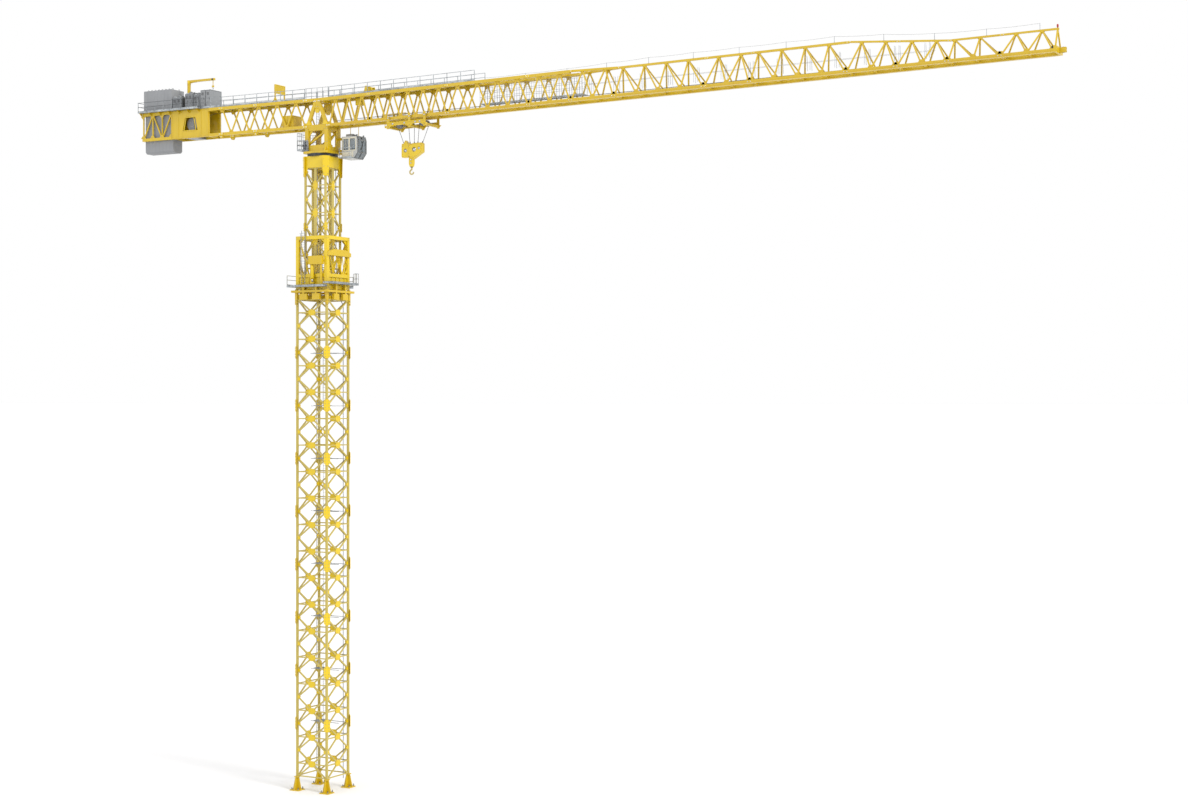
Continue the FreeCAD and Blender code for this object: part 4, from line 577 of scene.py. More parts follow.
cage = Piece("climbing_details", "tower", "yellow_paint", YELLOW_FRESH, ZINC, GALV, STEEL, BLACK, BRIGHT)
for sx, sy in ALL_SIDES:
    for z in (CAGE_LOW + 0.019, CAGE_TOP - 0.019):
        for nx, ny in ((sx, 0), (0, sy)):
            for k in (-0.010, 0.010):
                for dz in (-0.011, 0.011):
                    at = (sx * CAGE_POST + nx * 0.020 + abs(ny) * k,
                          sy * CAGE_POST + ny * 0.020 + abs(nx) * k, z + dz)
                    cage.bolt(at, (nx, ny, 0), 0.0030, 0.0026, 1)
    for nx, ny in ((-sx, 0), (0, -sy)):
        for z, s in ((CAGE_LOW + 0.038, 1), (CAGE_TOP - 0.038, -1), (CAGE_LOW + 0.168, 1)):
            at = Vector((sx * CAGE_POST + nx * 0.020, sy * CAGE_POST + ny * 0.020, z))
            run = Vector((nx, ny, 0))
            cage.plate([at, at + run * 0.055, at + Z * s * 0.055], run.cross(Z) * 0.008, 0)
for sx, sy in ALL_SIDES:
    for z in (5.372, 5.405):
        for nx, ny in ((sx, 0), (0, sy)):
            at = (sx * MAST_LEG + nx * 0.022, sy * MAST_LEG + ny * 0.022, z)
            cage.bolt(at, (nx, ny, 0), 0.0045, 0.004, 1)
for side in (-1, 1):
    cage.plate([(0.2, side * 0.1955, 5.72), (0.2, side * 0.1955, 5.80), (0.2, side * 0.13, 5.72)], X * 0.008,
               0)
# Solid apron plates low on the cage, with a stiffener frame.
for nx, ny in FACES:
    across, out = Vector((-ny, nx, 0)), Vector((nx, ny, 0))
    at = out * 0.198 + Z * 5.615
    cage.plate([at - across * 0.172 - Z * 0.044, at + across * 0.172 - Z * 0.044,
                at + across * 0.172 + Z * 0.044,
                at - across * 0.172 + Z * 0.044], out * 0.006, 0)
    for k in (-0.12, -0.04, 0.04, 0.12):
        left, right, rise = at + across * (k - 0.003) + out * 0.006, at + across * (k + 0.003) + out * 0.006, Z * 0.044
        cage.plate([left - rise, right - rise, right + rise, left + rise], out * 0.008)
# Ram on the right face: cylinder, rod, clevis and hoses.
cage.turned((0.03, -0.237, 5.640), Z,
            [(0, 0.012), (0.010, 0.019), (0.135, 0.019), (0.145, 0.014), (0.155, 0.014)], 0)
cage.tube((0.03, -0.237, 5.600), (0.03, -0.237, 5.642), 0.008, 5, 12)
cage.cube(0.03, -0.237, 5.594, 0.036, 0.022, 0.014, 0, 0.002)
for dx in (-0.018, 0.018):
    cage.path([(0.03 + dx, -0.228, 5.68), (0.03 + dx * 1.5, -0.221, 5.74), (0.04 + dx, -0.220, 5.92)], 0.0018,
              3, 6)
# Close struts under the arched beam on the front face.
STRUT_PITCH = 0.0275
for k in range(12):
    y = -0.165 + k * STRUT_PITCH
    low, high = (y + STRUT_PITCH, y) if k % 2 else (y, y + STRUT_PITCH)
    cage.beam((0.2035, low, 5.760), (0.2035, high, 5.896), 0.006, 0.006, 0, X)
# Caged ladder on the right face.
ladder(cage, -0.105, -0.219, CAGE_LOW + 0.060, CAGE_TOP + 0.060, 0.044, 2, 0.026, "X")
for k in range(7):
    z = CAGE_LOW + 0.16 + k * 0.075
    cage.path([(-0.105 + 0.034 * math.cos(t), -0.219 - 0.050 * math.sin(t), z)
               for t in [math.pi * i / 8 for i in range(9)]], 0.0012, 2, 5)
for x in (-0.139, -0.105, -0.071):
    y = -0.269 if x == -0.105 else -0.221
    cage.post(x, y, CAGE_LOW + 0.16, CAGE_LOW + 0.61, 0.0025, 2)
# Power pack on the platform's left side.
cage.box(-0.06, 0.05, 0.222, 0.265, PLATFORM_TOP, 5.640, 2, 0.004)
cage.turned((-0.03, 0.247, 5.640), Z, [(0, 0.014), (0.004, 0.017), (0.034, 0.017), (0.040, 0.010)], 4)
cage.tube((0.02, 0.247, 5.640), (0.02, 0.247, 5.662), 0.007, 3)
ladder(cage, -0.150, 0.226, CAGE_LOW + 0.050, CAGE_TOP, 0.042, 2, 0.028, "X")
cage.done()

floor_bars = Piece("climbing_grating", "tower", "galvanised_steel", GALV)
for x0, x1, y0, y1, z in ((-PLATFORM_OUT, 0.212, PLATFORM_IN, PLATFORM_OUT, PLATFORM_TOP),
                          (-PLATFORM_OUT, 0.212, -PLATFORM_OUT, -PLATFORM_IN, PLATFORM_TOP),
                          (-PLATFORM_OUT, -PLATFORM_IN, -0.215, 0.215, PLATFORM_TOP)):
    grating(floor_bars, x0, x1, y0, y1, z, 0, 0.003, 0.008, 0.004)
grating(floor_bars, PLATFORM_IN, PLATFORM_OUT, -0.212, PLATFORM_OUT, 5.610, 0, 0.003, 0.008, 0.004)
# Rails at the front platform's far end.
for x, y in ((0.2145, 0.2815), (0.2480, 0.2815), (0.2815, 0.2815), (0.2815, 0.2480), (0.2815, 0.2145)):
    floor_bars.post(x, y, 5.604, 5.718, 0.0036)
for h in (5.660, 5.716):
    floor_bars.path([(0.2145, 0.2815, h), (0.2815, 0.2815, h), (0.2815, 0.2145, h)], 0.0020, 0, 6)
floor_bars.done()


# Slewing ring and turntable

horns = Piece("ring_corner_plates", "tower", "yellow_paint", YELLOW_FRESH, ZINC)
for sx, sy in ALL_SIDES:
    out = Vector((sx, sy, 0)).normalized()
    across = Z.cross(out)
    low, high = out * 0.2090 + Z * 6.778, out * 0.2130 + Z * 6.998
    horns.plate([low - across * 0.031, low + across * 0.031, high + across * 0.040, high - across * 0.040],
                out * 0.006)
    for z, w in ((6.80, 0.020), (6.88, 0.024), (6.96, 0.028)):
        for side in (-1, 1):
            horns.bolt(out * 0.2145 + across * side * w + Z * z, out, 0.0032, 0.003, 1)
horns.done()

ring = Piece("slewing_bolts", "tower", "dark_steel", STEEL, ZINC)
for t in angles(48):
    ring.bolt((0.160 * math.cos(t), 0.160 * math.sin(t), RING_LOW - 0.0035), -Z, 0.0030, 0.0035, 1)
ring.done()

top_ring = Piece("turntable_details", "slewing_top", "yellow_paint", YELLOW_FRESH, ZINC)
for sx, sy in ALL_SIDES:
    x, y = sx * HEAD_LEG_X, sy * 0.100
    for nx, ny in ((sx, 0), (-sx, 0), (0, sy)):
        at = Vector((x + nx * 0.0225, y + ny * 0.0225, TABLE_TOP))
        run = Vector((nx, ny, 0))
        reach = 0.030 if nx != sx else 0.008
        top_ring.plate([at, at + run * reach, at + Z * 0.060], run.cross(Z) * 0.007, 0)
    for k in (-0.014, 0.014):
        top_ring.bolt((x + k, y + sy * 0.0225, TABLE_TOP + 0.10), (0, sy, 0), 0.0036, 0.003, 1)
        top_ring.bolt((x + k, y + sy * 0.0225, CHORD_LOW - 0.016), (0, sy, 0), 0.0036, 0.003, 1)
# Saddle plate with its U-shaped notch across the front of the head.
SADDLE_X, SADDLE_Y, SADDLE_LOW, SADDLE_TOP = 0.146, 0.077, 7.080, 7.296
NOTCH_Y, NOTCH_Z, NOTCH_DEPTH = 0.049, 7.150, 0.045


def saddle_plate(corners):
    top_ring.plate([(SADDLE_X, y, z) for y, z in corners], X * 0.006)


notch = [(-NOTCH_Y * math.cos(t),
          NOTCH_Z - NOTCH_DEPTH * math.sin(t)) for t in [math.pi * k / 10 for k in range(11)]]
for s, a, b in ((-1, SADDLE_TOP, NOTCH_Z), (1, NOTCH_Z, SADDLE_TOP)):
    saddle_plate([(s * NOTCH_Y, a), (s * NOTCH_Y, b), (s * SADDLE_Y, b), (s * SADDLE_Y, a)])
for (ya, za), (yb, zb) in zip(notch, notch[1:]):
    saddle_plate([(ya, SADDLE_LOW), (yb, SADDLE_LOW), (yb, zb), (ya, za)])
for s in (-1, 1):
    top_ring.box(0.143, 0.149, s * 0.063 - 0.014, s * 0.063 + 0.014, 7.080, 7.150, 0)
for t in angles(36):
    top_ring.bolt((0.148 * math.cos(t), 0.148 * math.sin(t), TABLE_TOP), Z, 0.0028, 0.003, 1)
top_ring.done()


def motor(p, x, y, low, height, radius, can, base, box_mat, toward=Y):
    """Upright motor: base flange, finned can, fan cowl and a terminal box."""
    p.turned((x, y, low), Z, [(0, radius * 1.18), (0.006, radius * 1.18), (0.007, radius), (0.020, radius)],
             base)
    p.turned((x, y, low + 0.020), Z, [(0, radius * 0.9), (height * 0.62, radius * 0.9)], can)
    for t in angles(14):
        c, s = math.cos(t), math.sin(t)
        p.beam((x + c * radius * 0.95, y + s * radius * 0.95, low + 0.024),
               (x + c * radius * 0.95, y + s * radius * 0.95,
                low + 0.016 + height * 0.62), 0.0018, radius * 0.14, can, (c, s, 0))
    p.turned((x, y, low + 0.020 + height * 0.62), Z,
             [(0, radius), (height * 0.12, radius), (height * 0.16, radius * 0.72),
              (height * 0.161, radius * 0.2)], can)
    tx, ty = toward[0], toward[1]
    p.cube(x + tx * radius * 1.05, y + ty * radius * 1.05, low + height * 0.42, 0.014, 0.014, 0.018, box_mat,
           0.001)


drives = Piece("slewing_motors", "slewing_top", "grey_paint", GREY, BLACK, PALE)
for x, y in ((-0.150, -0.1405), (-0.112, -0.1405), (-0.131, 0.1405)):
    drives.cube(x, y, TABLE_TOP + 0.009, 0.036, 0.036, 0.018, 0, 0.002)
    motor(drives, x, y, TABLE_TOP + 0.016, 0.115, 0.0165, 2, 0, 1, (0, math.copysign(1, y)))
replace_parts(drives.done(), "slewing_drives")


# Jib

def truss_gussets(name, nodes_list, body, tilt):
    """Plates at every truss node, top and bottom, both sides."""
    p = Piece(name, body, "yellow_paint", YELLOW, ZINC)
    p.tilt = tilt
    for bottom, top, sign in nodes_list:
        # Level bracing between the bottom chords.
        for i, (xa, xb) in enumerate(zip(bottom, bottom[1:])):
            turn = 1 if i % 2 else -1
            reach, z = CHORD_Y - 0.016, CHORD_LOW + 0.024
            p.beam((sign * xa, -turn * reach, z), (sign * xb, turn * reach, z), 0.012, 0.008)
        for x in bottom:
            for s in (-1, 1):
                z = CHORD_LOW + CHORD_HEIGHT
                c = Vector((sign * x, s * CHORD_Y, z))
                p.plate([c + X * -0.032, c + X * 0.032, c + X * 0.014 + Z * 0.026, c - X * 0.014 + Z * 0.026],
                        Y * 0.008)
        for x in top:
            spread = top_spread(x) if sign > 0 else CHORD_Y
            size = top_size(x) if sign > 0 else CHORD_HEIGHT
            for s in (-1, 1) if spread > 0.011 else (0,):
                z = CHORD_LOW + (jib_top(x) if sign > 0 else JIB_HEIGHT) - size
                c = Vector((sign * x, s * spread, z))
                w = 0.034 if size > 0.03 else 0.024
                p.plate([c - X * w, c + X * w, c + X * w * 0.45 - Z * w * 0.8,
                         c - X * w * 0.45 - Z * w * 0.8], Y * 0.008)
    return p.done()


jib_nodes = []
for start, end, bay, lead in JIB_SECTIONS:
    bottom, top = truss_nodes(start, end, bay, lead)
    jib_nodes.append((bottom, top, 1))
truss_gussets("jib_gussets", jib_nodes, "slewing_top", TILT)
counter_bottom, counter_top = truss_nodes(0.1535, 1.21, 0.26, 0.13)
counter_top.append(2 * counter_bottom[-1] - counter_top[-1])
truss_gussets("counter_jib_gussets", [(counter_bottom, counter_top, -1)], "slewing_top", None)

# Fork joints with pins where the jib sections meet.
forks = Piece("jib_pins", "slewing_top", "yellow_paint", YELLOW_FRESH, BRIGHT)
forks.tilt = TILT
for _, end, _, _ in JIB_SECTIONS[:-1]:
    for s in (-1, 1):
        y, z = s * CHORD_Y, CHORD_LOW + CHORD_HEIGHT / 2
        forks.cube(end, y - s * 0.0165, z, 0.060, 0.004, 0.024, 0, 0.001)
        for dx in (-0.016, 0.016):
            forks.tube((end + dx, y - s * 0.0205, z), (end + dx, y + s * 0.0160, z), 0.0052, 1, 10)
    if end < 3.2:
        tops = ((-CHORD_Y, 0.033), (CHORD_Y, 0.033))
    else:
        tops = ((0.0, top_size(end)),) if end > 3.25 else ((-CHORD_Y, 0.022), (CHORD_Y, 0.022))
    for y, size in tops:
        z = CHORD_LOW + jib_top(end) - size / 2
        for side in (-1, 1):
            forks.cube(end, y + side * (size / 2 + 0.002), z, 0.052, 0.004, size * 0.72, 0, 0.001)
        for dx in (-0.014, 0.014):
            forks.tube((end + dx, y - size / 2 - 0.005, z), (end + dx, y + size / 2 + 0.005, z), 0.0045, 1,
                       10)
for s in (-1, 1):
    forks.cube(0.156, s * CHORD_Y, CHORD_LOW + 0.0165, 0.050, 0.037, 0.026, 0, 0.002)
    for dx in (-0.014, 0.014):
        forks.tube((0.156 + dx, s * CHORD_Y - 0.023, CHORD_LOW + 0.0165),
                   (0.156 + dx, s * CHORD_Y + 0.023, CHORD_LOW + 0.0165), 0.006, 1, 12)
forks.done()

# Ropes, rollers and small fittings along the jib.
lines = Piece("jib_ropes", "slewing_top", "wire_rope", ROPE, STEEL, GALV)
lines.tilt = TILT
for y in (-0.014, 0.014):
    lines.tube((0.20, y, CHORD_LOW + 0.075), (8.20, y * 0.4, CHORD_LOW + 0.045), 0.0016, 0, 6)
lines.tube((0.20, 0.0, CHORD_LOW + 0.060), (8.22, 0.0, CHORD_LOW + 0.034), 0.0012, 0, 6)
for bottom, top, _ in jib_nodes:
    for x in bottom[::2]:
        lines.box(x - 0.006, x + 0.006, -0.020, 0.020, CHORD_LOW + 0.0215, CHORD_LOW + 0.034, 2, 0.001)
        for y in (-0.014, 0.014):
            lines.tube((x, y - 0.004, CHORD_LOW + 0.040), (x, y + 0.004, CHORD_LOW + 0.040), 0.0060, 2, 10)
lines.done()

walk = Piece("jib_lifelines", "slewing_top", "galvanised_steel", GALV, ROPE)
walk.tilt = TILT
posts = [2.05 + 0.5 * k for k in range(0, 13)]
for x in posts:
    if x > 8.1:
        continue
    top = CHORD_LOW + jib_top(x)
    y = top_spread(x)
    walk.post(x, y, top - 0.004, top + 0.062, 0.0035)
    walk.box(x - 0.006, x + 0.006, y - 0.006, y + 0.006, top, top + 0.003, 0)
for a, b in zip(posts, posts[1:]):
    if b > 8.1:
        continue
    pa = Vector((a, top_spread(a), CHORD_LOW + jib_top(a) + 0.060))
    pb = Vector((b, top_spread(b), CHORD_LOW + jib_top(b) + 0.060))
    walk.path([pa.lerp(pb, t) - Z * 0.006 * 4 * t * (1 - t) for t in (0, 0.25, 0.5, 0.75, 1)], 0.0009, 1, 5)
# Railed catwalk inside the truss, past the end of the walkway on top.
for s in (-1, 1):
    y = s * 0.052
    for i in range(42):
        x = 2.08 + i * 0.030
        walk.post(x, y, CHORD_LOW + 0.082, CHORD_LOW + 0.270, 0.0022)
    for i in range(13):
        x = 3.36 + i * 0.30
        for dx in (0, 0.045):
            walk.beam((x + dx, y * 0.5, CHORD_LOW + 0.082), (x + dx, y * 0.3, CHORD_LOW + 0.230), 0.0028,
                      0.0028, 0, X)
    for h in (0.150, 0.210, 0.268):
        walk.tube((2.075, y, CHORD_LOW + h), (3.315, y, CHORD_LOW + h), 0.0016, 0, 5)
    walk.tube((3.315, y * 0.4, CHORD_LOW + 0.180), (7.05, y * 0.4, CHORD_LOW + 0.150), 0.0012, 0, 5)
for i in range(98):
    x = 2.078 + i * 0.0127
    walk.box(x - 0.0008, x + 0.0008, -0.054, 0.054, CHORD_LOW + 0.080, CHORD_LOW + 0.083, 0)
for y in (-0.054, 0.054):
    walk.box(2.075, 3.315, y - 0.0015, y + 0.0015, CHORD_LOW + 0.078, CHORD_LOW + 0.084, 0)
walk.done()

mesh_deck = Piece("jib_grating", "slewing_top", "galvanised_steel", GALV)
mesh_deck.tilt = TILT
z = CHORD_LOW + JIB_HEIGHT + 0.005
deck_strips(mesh_deck, 0.170, 2.040, z, 190)
mesh_deck.done()

tip = Piece("jib_tip_details", "slewing_top", "yellow_paint", YELLOW_FRESH, STEEL, ZINC, RED, GALV, BLACK)
tip.tilt = TILT
for s in (-1, 1):
    tip.cube(8.190, s * CHORD_Y, CHORD_LOW + 0.045, 0.016, 0.026, 0.024, 5, 0.003)
    for dz in (0.015, 0.046):
        tip.bolt((8.226, s * 0.09, CHORD_LOW + dz), X, 0.0035, 0.003, 2)
tip.turned((8.213, 0, CHORD_LOW + TIP_HEIGHT), Z,
           [(0, 0.006), (0.010, 0.006), (0.011, 0.009), (0.030, 0.009), (0.036, 0.004)], 3, 12)
for s in (-1, 1):
    tip.turned((8.2615, s * 0.0045, CHORD_LOW + 0.03), (0, s, 0),
               [(0, 0.0272), (0.002, 0.0272), (0.0021, 0.022)], 1, 24)
tip.done()

# Cross-tube bracket on top of the jib and hanging service box inside it, near the tower.
bracket = Piece("jib_bracket", "slewing_top", "yellow_paint", YELLOW_FRESH)
bracket.tilt = TILT
z = CHORD_LOW + JIB_HEIGHT + 0.005
for s in (-1, 1):
    bracket.plate([(0.605, s * 0.070, z), (0.670, s * 0.070, z), (0.655, s * 0.070, z + 0.080),
                   (0.625, s * 0.070, z + 0.080)], Y * 0.006)
bracket.tube((0.640, -0.074, z + 0.070), (0.640, 0.074, z + 0.070), 0.008, 0, 14)
bracket.turned((0.640, -0.012, z + 0.050), Y,
               [(0, 0.026), (0.003, 0.028), (0.008, 0.020), (0.016, 0.020), (0.021, 0.028),
                (0.024, 0.026)], 0, 22)
bracket.box(0.470, 0.530, -0.040, 0.040, CHORD_LOW + 0.215, CHORD_LOW + 0.290, 0, 0.003)
bracket.done()


# Counter-jib

floor = Piece("counter_jib_grating", "slewing_top", "galvanised_steel", GALV, YELLOW)
z = TRUSS_TOP + 0.005
deck_strips(floor, -1.334, -0.172, z, 118)
for x0, x1, inner, outer in ((-2.520, -1.632, 0.116, 0.165), (-1.628, -1.342, 0.102, 0.117)):
    for s in (-1, 1):
        bars = int((x1 - x0) / 0.0105)
        for i in range(bars + 1):
            x = x0 + (x1 - x0) * i / bars
            floor.box(x - 0.001, x + 0.001, s * inner, s * outer, DECK_TOP, DECK_TOP + 0.0022, 0)
for i in range(7):
    x = -1.66 - i * 0.14
    for s in (-1, 1):
        floor.plate([(x, s * 0.167, TRUSS_TOP), (x, s * 0.117, TRUSS_TOP), (x, s * 0.117, TRUSS_TOP - 0.040)],
                    X * 0.005, 1)
floor.done()

rails = Piece("deck_rails", "slewing_top", "galvanised_steel", GALV, STEEL)
for x0, x1, side in ((-2.520, -1.632, 0.1645), (-1.628, -1.342, 0.1155)):
    for s in (-1, 1):
        y = s * side
        bays = max(2, round((x1 - x0) / 0.127))
        for i in range(bays + 1):
            x = x0 + 0.003 + (x1 - x0 - 0.006) * i / bays
            rails.post(x, y, DECK_TOP, DECK_TOP + 0.108, 0.004)
            rails.box(x - 0.002, x + 0.002, y - 0.002, y + 0.002, DECK_TOP - 0.010, DECK_TOP + 0.012, 0)
        for h in (0.055, 0.107):
            rails.tube((x0 + 0.001, y, DECK_TOP + h), (x1 - 0.001, y, DECK_TOP + h), 0.0021,
                       1 if x0 < -2 else 0, 6)
        rails.box(x0, x1, y - 0.001, y + 0.001, DECK_TOP, DECK_TOP + 0.012, 0)
rails.done()

# Hinge flanges under the bottom chords where the counter-jib lengths join.
hinges = Piece("counter_jib_pins", "slewing_top", "yellow_paint", YELLOW_FRESH, BRIGHT)
for x in (-0.8475, -1.338, -0.156):
    for s in (-1, 1):
        for z in (CHORD_LOW + 0.0165, TRUSS_TOP - 0.0165):
            for side in (-1, 1):
                hinges.cube(x, s * CHORD_Y + side * 0.0180, z, 0.064, 0.004, 0.028, 0, 0.001)
            for dx in (-0.018, 0.018):
                hinges.tube((x + dx, s * CHORD_Y - 0.0235, z), (x + dx, s * CHORD_Y + 0.0235, z), 0.006, 1,
                            10)
        if x < -0.8:
            for side in (-1, 1):
                hinges.plate([(x - 0.030, s * CHORD_Y + side * 0.008, CHORD_LOW + 0.001),
                              (x + 0.030, s * CHORD_Y + side * 0.008, CHORD_LOW + 0.001),
                              (x + 0.012, s * CHORD_Y + side * 0.008, CHORD_LOW - 0.026),
                              (x - 0.012, s * CHORD_Y + side * 0.008, CHORD_LOW - 0.026)], Y * 0.005, 0)
            hinges.tube((x, s * CHORD_Y - 0.014, CHORD_LOW - 0.014),
                        (x, s * CHORD_Y + 0.014, CHORD_LOW - 0.014), 0.006, 1, 10)
hinges.done()

# Plated service bay inside the truss behind the tower head.
bay = Piece("counter_jib_panel", "slewing_top", "yellow_paint", YELLOW, ZINC)
bay.box(-0.500, -0.320, -0.078, 0.078, CHORD_LOW + 0.030, CHORD_LOW + 0.036, 0, 0.001)
for s in (-1, 1):
    bay.box(-0.500, -0.350, s * 0.078 - 0.003, s * 0.078 + 0.003, CHORD_LOW + 0.033, CHORD_LOW + 0.165, 0,
            0.001)
    for k in range(3):
        bay.box(-0.492 + k * 0.060, -0.484 + k * 0.060, s * 0.080 - 0.004, s * 0.080 + 0.004,
                CHORD_LOW + 0.036, CHORD_LOW + 0.162, 0, 0.001)
    for k in range(4):
        bay.bolt((-0.490 + k * 0.042, s * 0.081, CHORD_LOW + 0.158), (0, s, 0), 0.0024, 0.002, 1)
bay.box(-0.352, -0.346, -0.078, 0.078, CHORD_LOW + 0.033, CHORD_LOW + 0.165, 0, 0.001)
bay.done()

# Winch: rope wound on the drum, flanges, gearbox, brake and motor.
winch = Piece("winch_details", "slewing_top", "dark_steel", STEEL, ROPE, GREY, YELLOW_FRESH, ZINC)
cx, cz = -1.7885, CHORD_LOW + JIB_HEIGHT / 2
profile = []
turns = 25
for i in range(turns):
    y = -0.0635 + 0.127 * i / (turns - 1)
    profile += [(y - 0.0024, 0.0592), (y - 0.0012, 0.0612), (y, 0.0617), (y + 0.0012, 0.0612),
                (y + 0.0024, 0.0592)]
winch.turned((cx, 0, cz), Y, profile, 1, 40)
for s in (-1, 1):
    for t in angles(10):
        winch.bolt((cx + 0.030 * math.cos(t), s * 0.0793, cz + 0.030 * math.sin(t)), (0, s, 0), 0.0028, 0.002,
                   4)
winch.turned((cx - 0.085, 0.0, CHORD_LOW + 0.060), Y,
             [(-0.070, 0.022), (-0.066, 0.027), (0.045, 0.027), (0.050, 0.022)], 3, 20)
for t in angles(12):
    winch.beam((cx - 0.085 + 0.0275 * math.cos(t), -0.060, CHORD_LOW + 0.060 + 0.0275 * math.sin(t)),
               (cx - 0.085 + 0.0275 * math.cos(t), 0.040,
                CHORD_LOW + 0.060 + 0.0275 * math.sin(t)), 0.002, 0.004, 3,
               (math.cos(t), 0, math.sin(t)))
winch.box(cx - 0.115, cx - 0.058, -0.080, 0.065, CHORD_LOW + 0.012, CHORD_LOW + 0.034, 0, 0.002)
winch.tube((cx + 0.02, -0.02, cz + 0.055), (cx + 0.30, -0.012, TRUSS_TOP - 0.052), 0.0016, 1, 6)
winch.tube((cx + 0.30, -0.012, TRUSS_TOP - 0.052), (-0.12, 0.0, TRUSS_TOP - 0.045), 0.0016, 1, 6)
winch.done()

# Stiffeners and covers on the winch bay's side plates.
side_plates = Piece("winch_bay_details", "slewing_top", "yellow_paint", YELLOW, ZINC, YELLOW_FRESH)
for s in (-1, 1):
    y = s * 0.112
    for x0, x1, z0, z1 in ((-2.056, -1.523, 7.319, 7.332), (-2.056, -1.523, 7.627, 7.640),
                           (-1.536, -1.523, 7.332, 7.627), (-2.056, -2.043, 7.332, 7.627),
                           (-1.965, -1.955, 7.332, 7.627), (-1.630, -1.622, 7.332, 7.627)):
        side_plates.box(x0, x1, y, y + s * 0.003, z0, z1, 0, 0.0008)
    rim = [(-0.0835, 0), (0.0835, 0), (0.0535, 0.150), (-0.0535, 0.150)]
    for (ax, az), (bx, bz) in zip(rim, rim[1:] + rim[:1]):
        a = Vector((cx + ax * 1.05, y + s * 0.002, 7.4045 + az))
        b = Vector((cx + bx * 1.05, y + s * 0.002, 7.4045 + bz))
        side_plates.beam(a, b, 0.006, 0.006, 2, Y)
    for k in range(14):
        side_plates.bolt((-1.54 - k * 0.038, y + s * 0.003, 7.6335), (0, s, 0), 0.0022, 0.0018, 1)
        side_plates.bolt((-1.54 - k * 0.038, y + s * 0.003, 7.3255), (0, s, 0), 0.0022, 0.0018, 1)
side_plates.done()


def cabinet(p, x0, x1, y0, y1, z0, z1, doors, shell, trim, dark):
    """Housing with a rolled roof, framed doors, louvres and handles on both long sides."""
    p.box(x0, x1, y0, y1, z0 + 0.006, z1 - 0.008, shell, 0.003)
    p.box(x0 + 0.003, x1 - 0.003, y0 + 0.003, y1 - 0.003, z0, z0 + 0.008, dark)
    p.box(x0, x1, y0, y1, z1 - 0.008, z1, trim, 0.003)
    width = (x1 - x0 - 0.012) / doors
    for d in range(doors):
        a = x0 + 0.006 + d * width + 0.002
        b = a + width - 0.004
        for s, y in ((-1, y0), (1, y1)):
            p.box(a, b, y + s * 0.0022, y - s * 0.001, z0 + 0.014, z1 - 0.014, shell, 0.001)
            yc = y + s * 0.0022
            for v in range(6):
                z = z1 - 0.030 - v * 0.006
                p.box(a + width * 0.2, b - width * 0.2, yc, yc + s * 0.0014, z, z + 0.0022, dark)
            hx = b - 0.008
            p.box(hx - 0.0015, hx + 0.0015, yc, yc + s * 0.003, (z0 + z1) / 2 - 0.010, (z0 + z1) / 2 + 0.010,
                  dark, 0.0006)
            for z in (z0 + 0.03, z1 - 0.03):
                p.box(a - 0.001, a + 0.003, yc, yc + s * 0.0016, z - 0.005, z + 0.005, trim)


housing = Piece("cabinet_skins", "slewing_top", "grey_paint", PALE, GREY, BLACK, GALV)
for x1 in (-1.500, -1.578):
    cabinet(housing, x1 - 0.0720, x1, -0.1000, 0.1000, DECK_TOP, DECK_TOP + 0.201, 1, 0, 1, 2)
    for y in (-0.07, 0.07):
        housing.path([(x1 - 0.030, y, DECK_TOP + 0.200), (x1 - 0.030, y, DECK_TOP + 0.208),
                      (x1 - 0.042, y, DECK_TOP + 0.208), (x1 - 0.042, y, DECK_TOP + 0.200)], 0.0013, 3, 5)
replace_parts(housing.done(), "deck_cabinets")

machine = Piece("machinery_skins", "slewing_top", "grey_paint", GREY, PALE, BLACK, GALV, STEEL)
for start, length, width, height in MACHINES:
    top, mid, half = DECK_TOP + height - 0.030, -start - length / 2, width / 2
    cabinet(machine, -start - length, -start, -half, half, DECK_TOP, top, 2, 0, 1, 2)
    for y in (-half * 0.55, 0.0, half * 0.55):
        machine.turned((mid, y, top - 0.001), Z,
                       [(0, 0.026), (0.010, 0.0255), (0.020, 0.022), (0.027, 0.012), (0.0305, 0.003)], 0, 20)
        machine.turned((mid + length * 0.32, y * 0.8, top - 0.001), Z,
                       [(0, 0.009), (0.016, 0.009), (0.020, 0.005)], 4, 12)
    machine.tube((mid - length * 0.3, -half * 0.9, top + 0.006),
                 (mid - length * 0.3, half * 0.9, top + 0.006), 0.0075, 3, 12)
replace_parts(machine.done(), "deck_machinery")

# Counterweight slabs: chamfered concrete with lifting eyes, edge angles and hanging hooks.
slabs = Piece("counterweight_slabs", "slewing_top", "concrete", CONCRETE, STEEL)
low = CHORD_LOW - 0.143
outline = [(-0.080, low + 0.022), (-0.058, low), (0.058, low), (0.080, low + 0.022), (0.080, SLAB_SHOULDER),
           (0.110, SLAB_SHOULDER), (0.110, low + 0.726), (-0.110, low + 0.726), (-0.110, SLAB_SHOULDER),
           (-0.080, SLAB_SHOULDER)]


def slab_ring(x, shrink):
    """The slab's outline at x, drawn in by shrink at its foot and its top."""
    lift = [shrink if z < 7.2 else (-shrink if z > 7.7 else 0) for _, z in outline]
    return [(x, y - math.copysign(shrink, y), z + dz) for (y, z), dz in zip(outline, lift)]


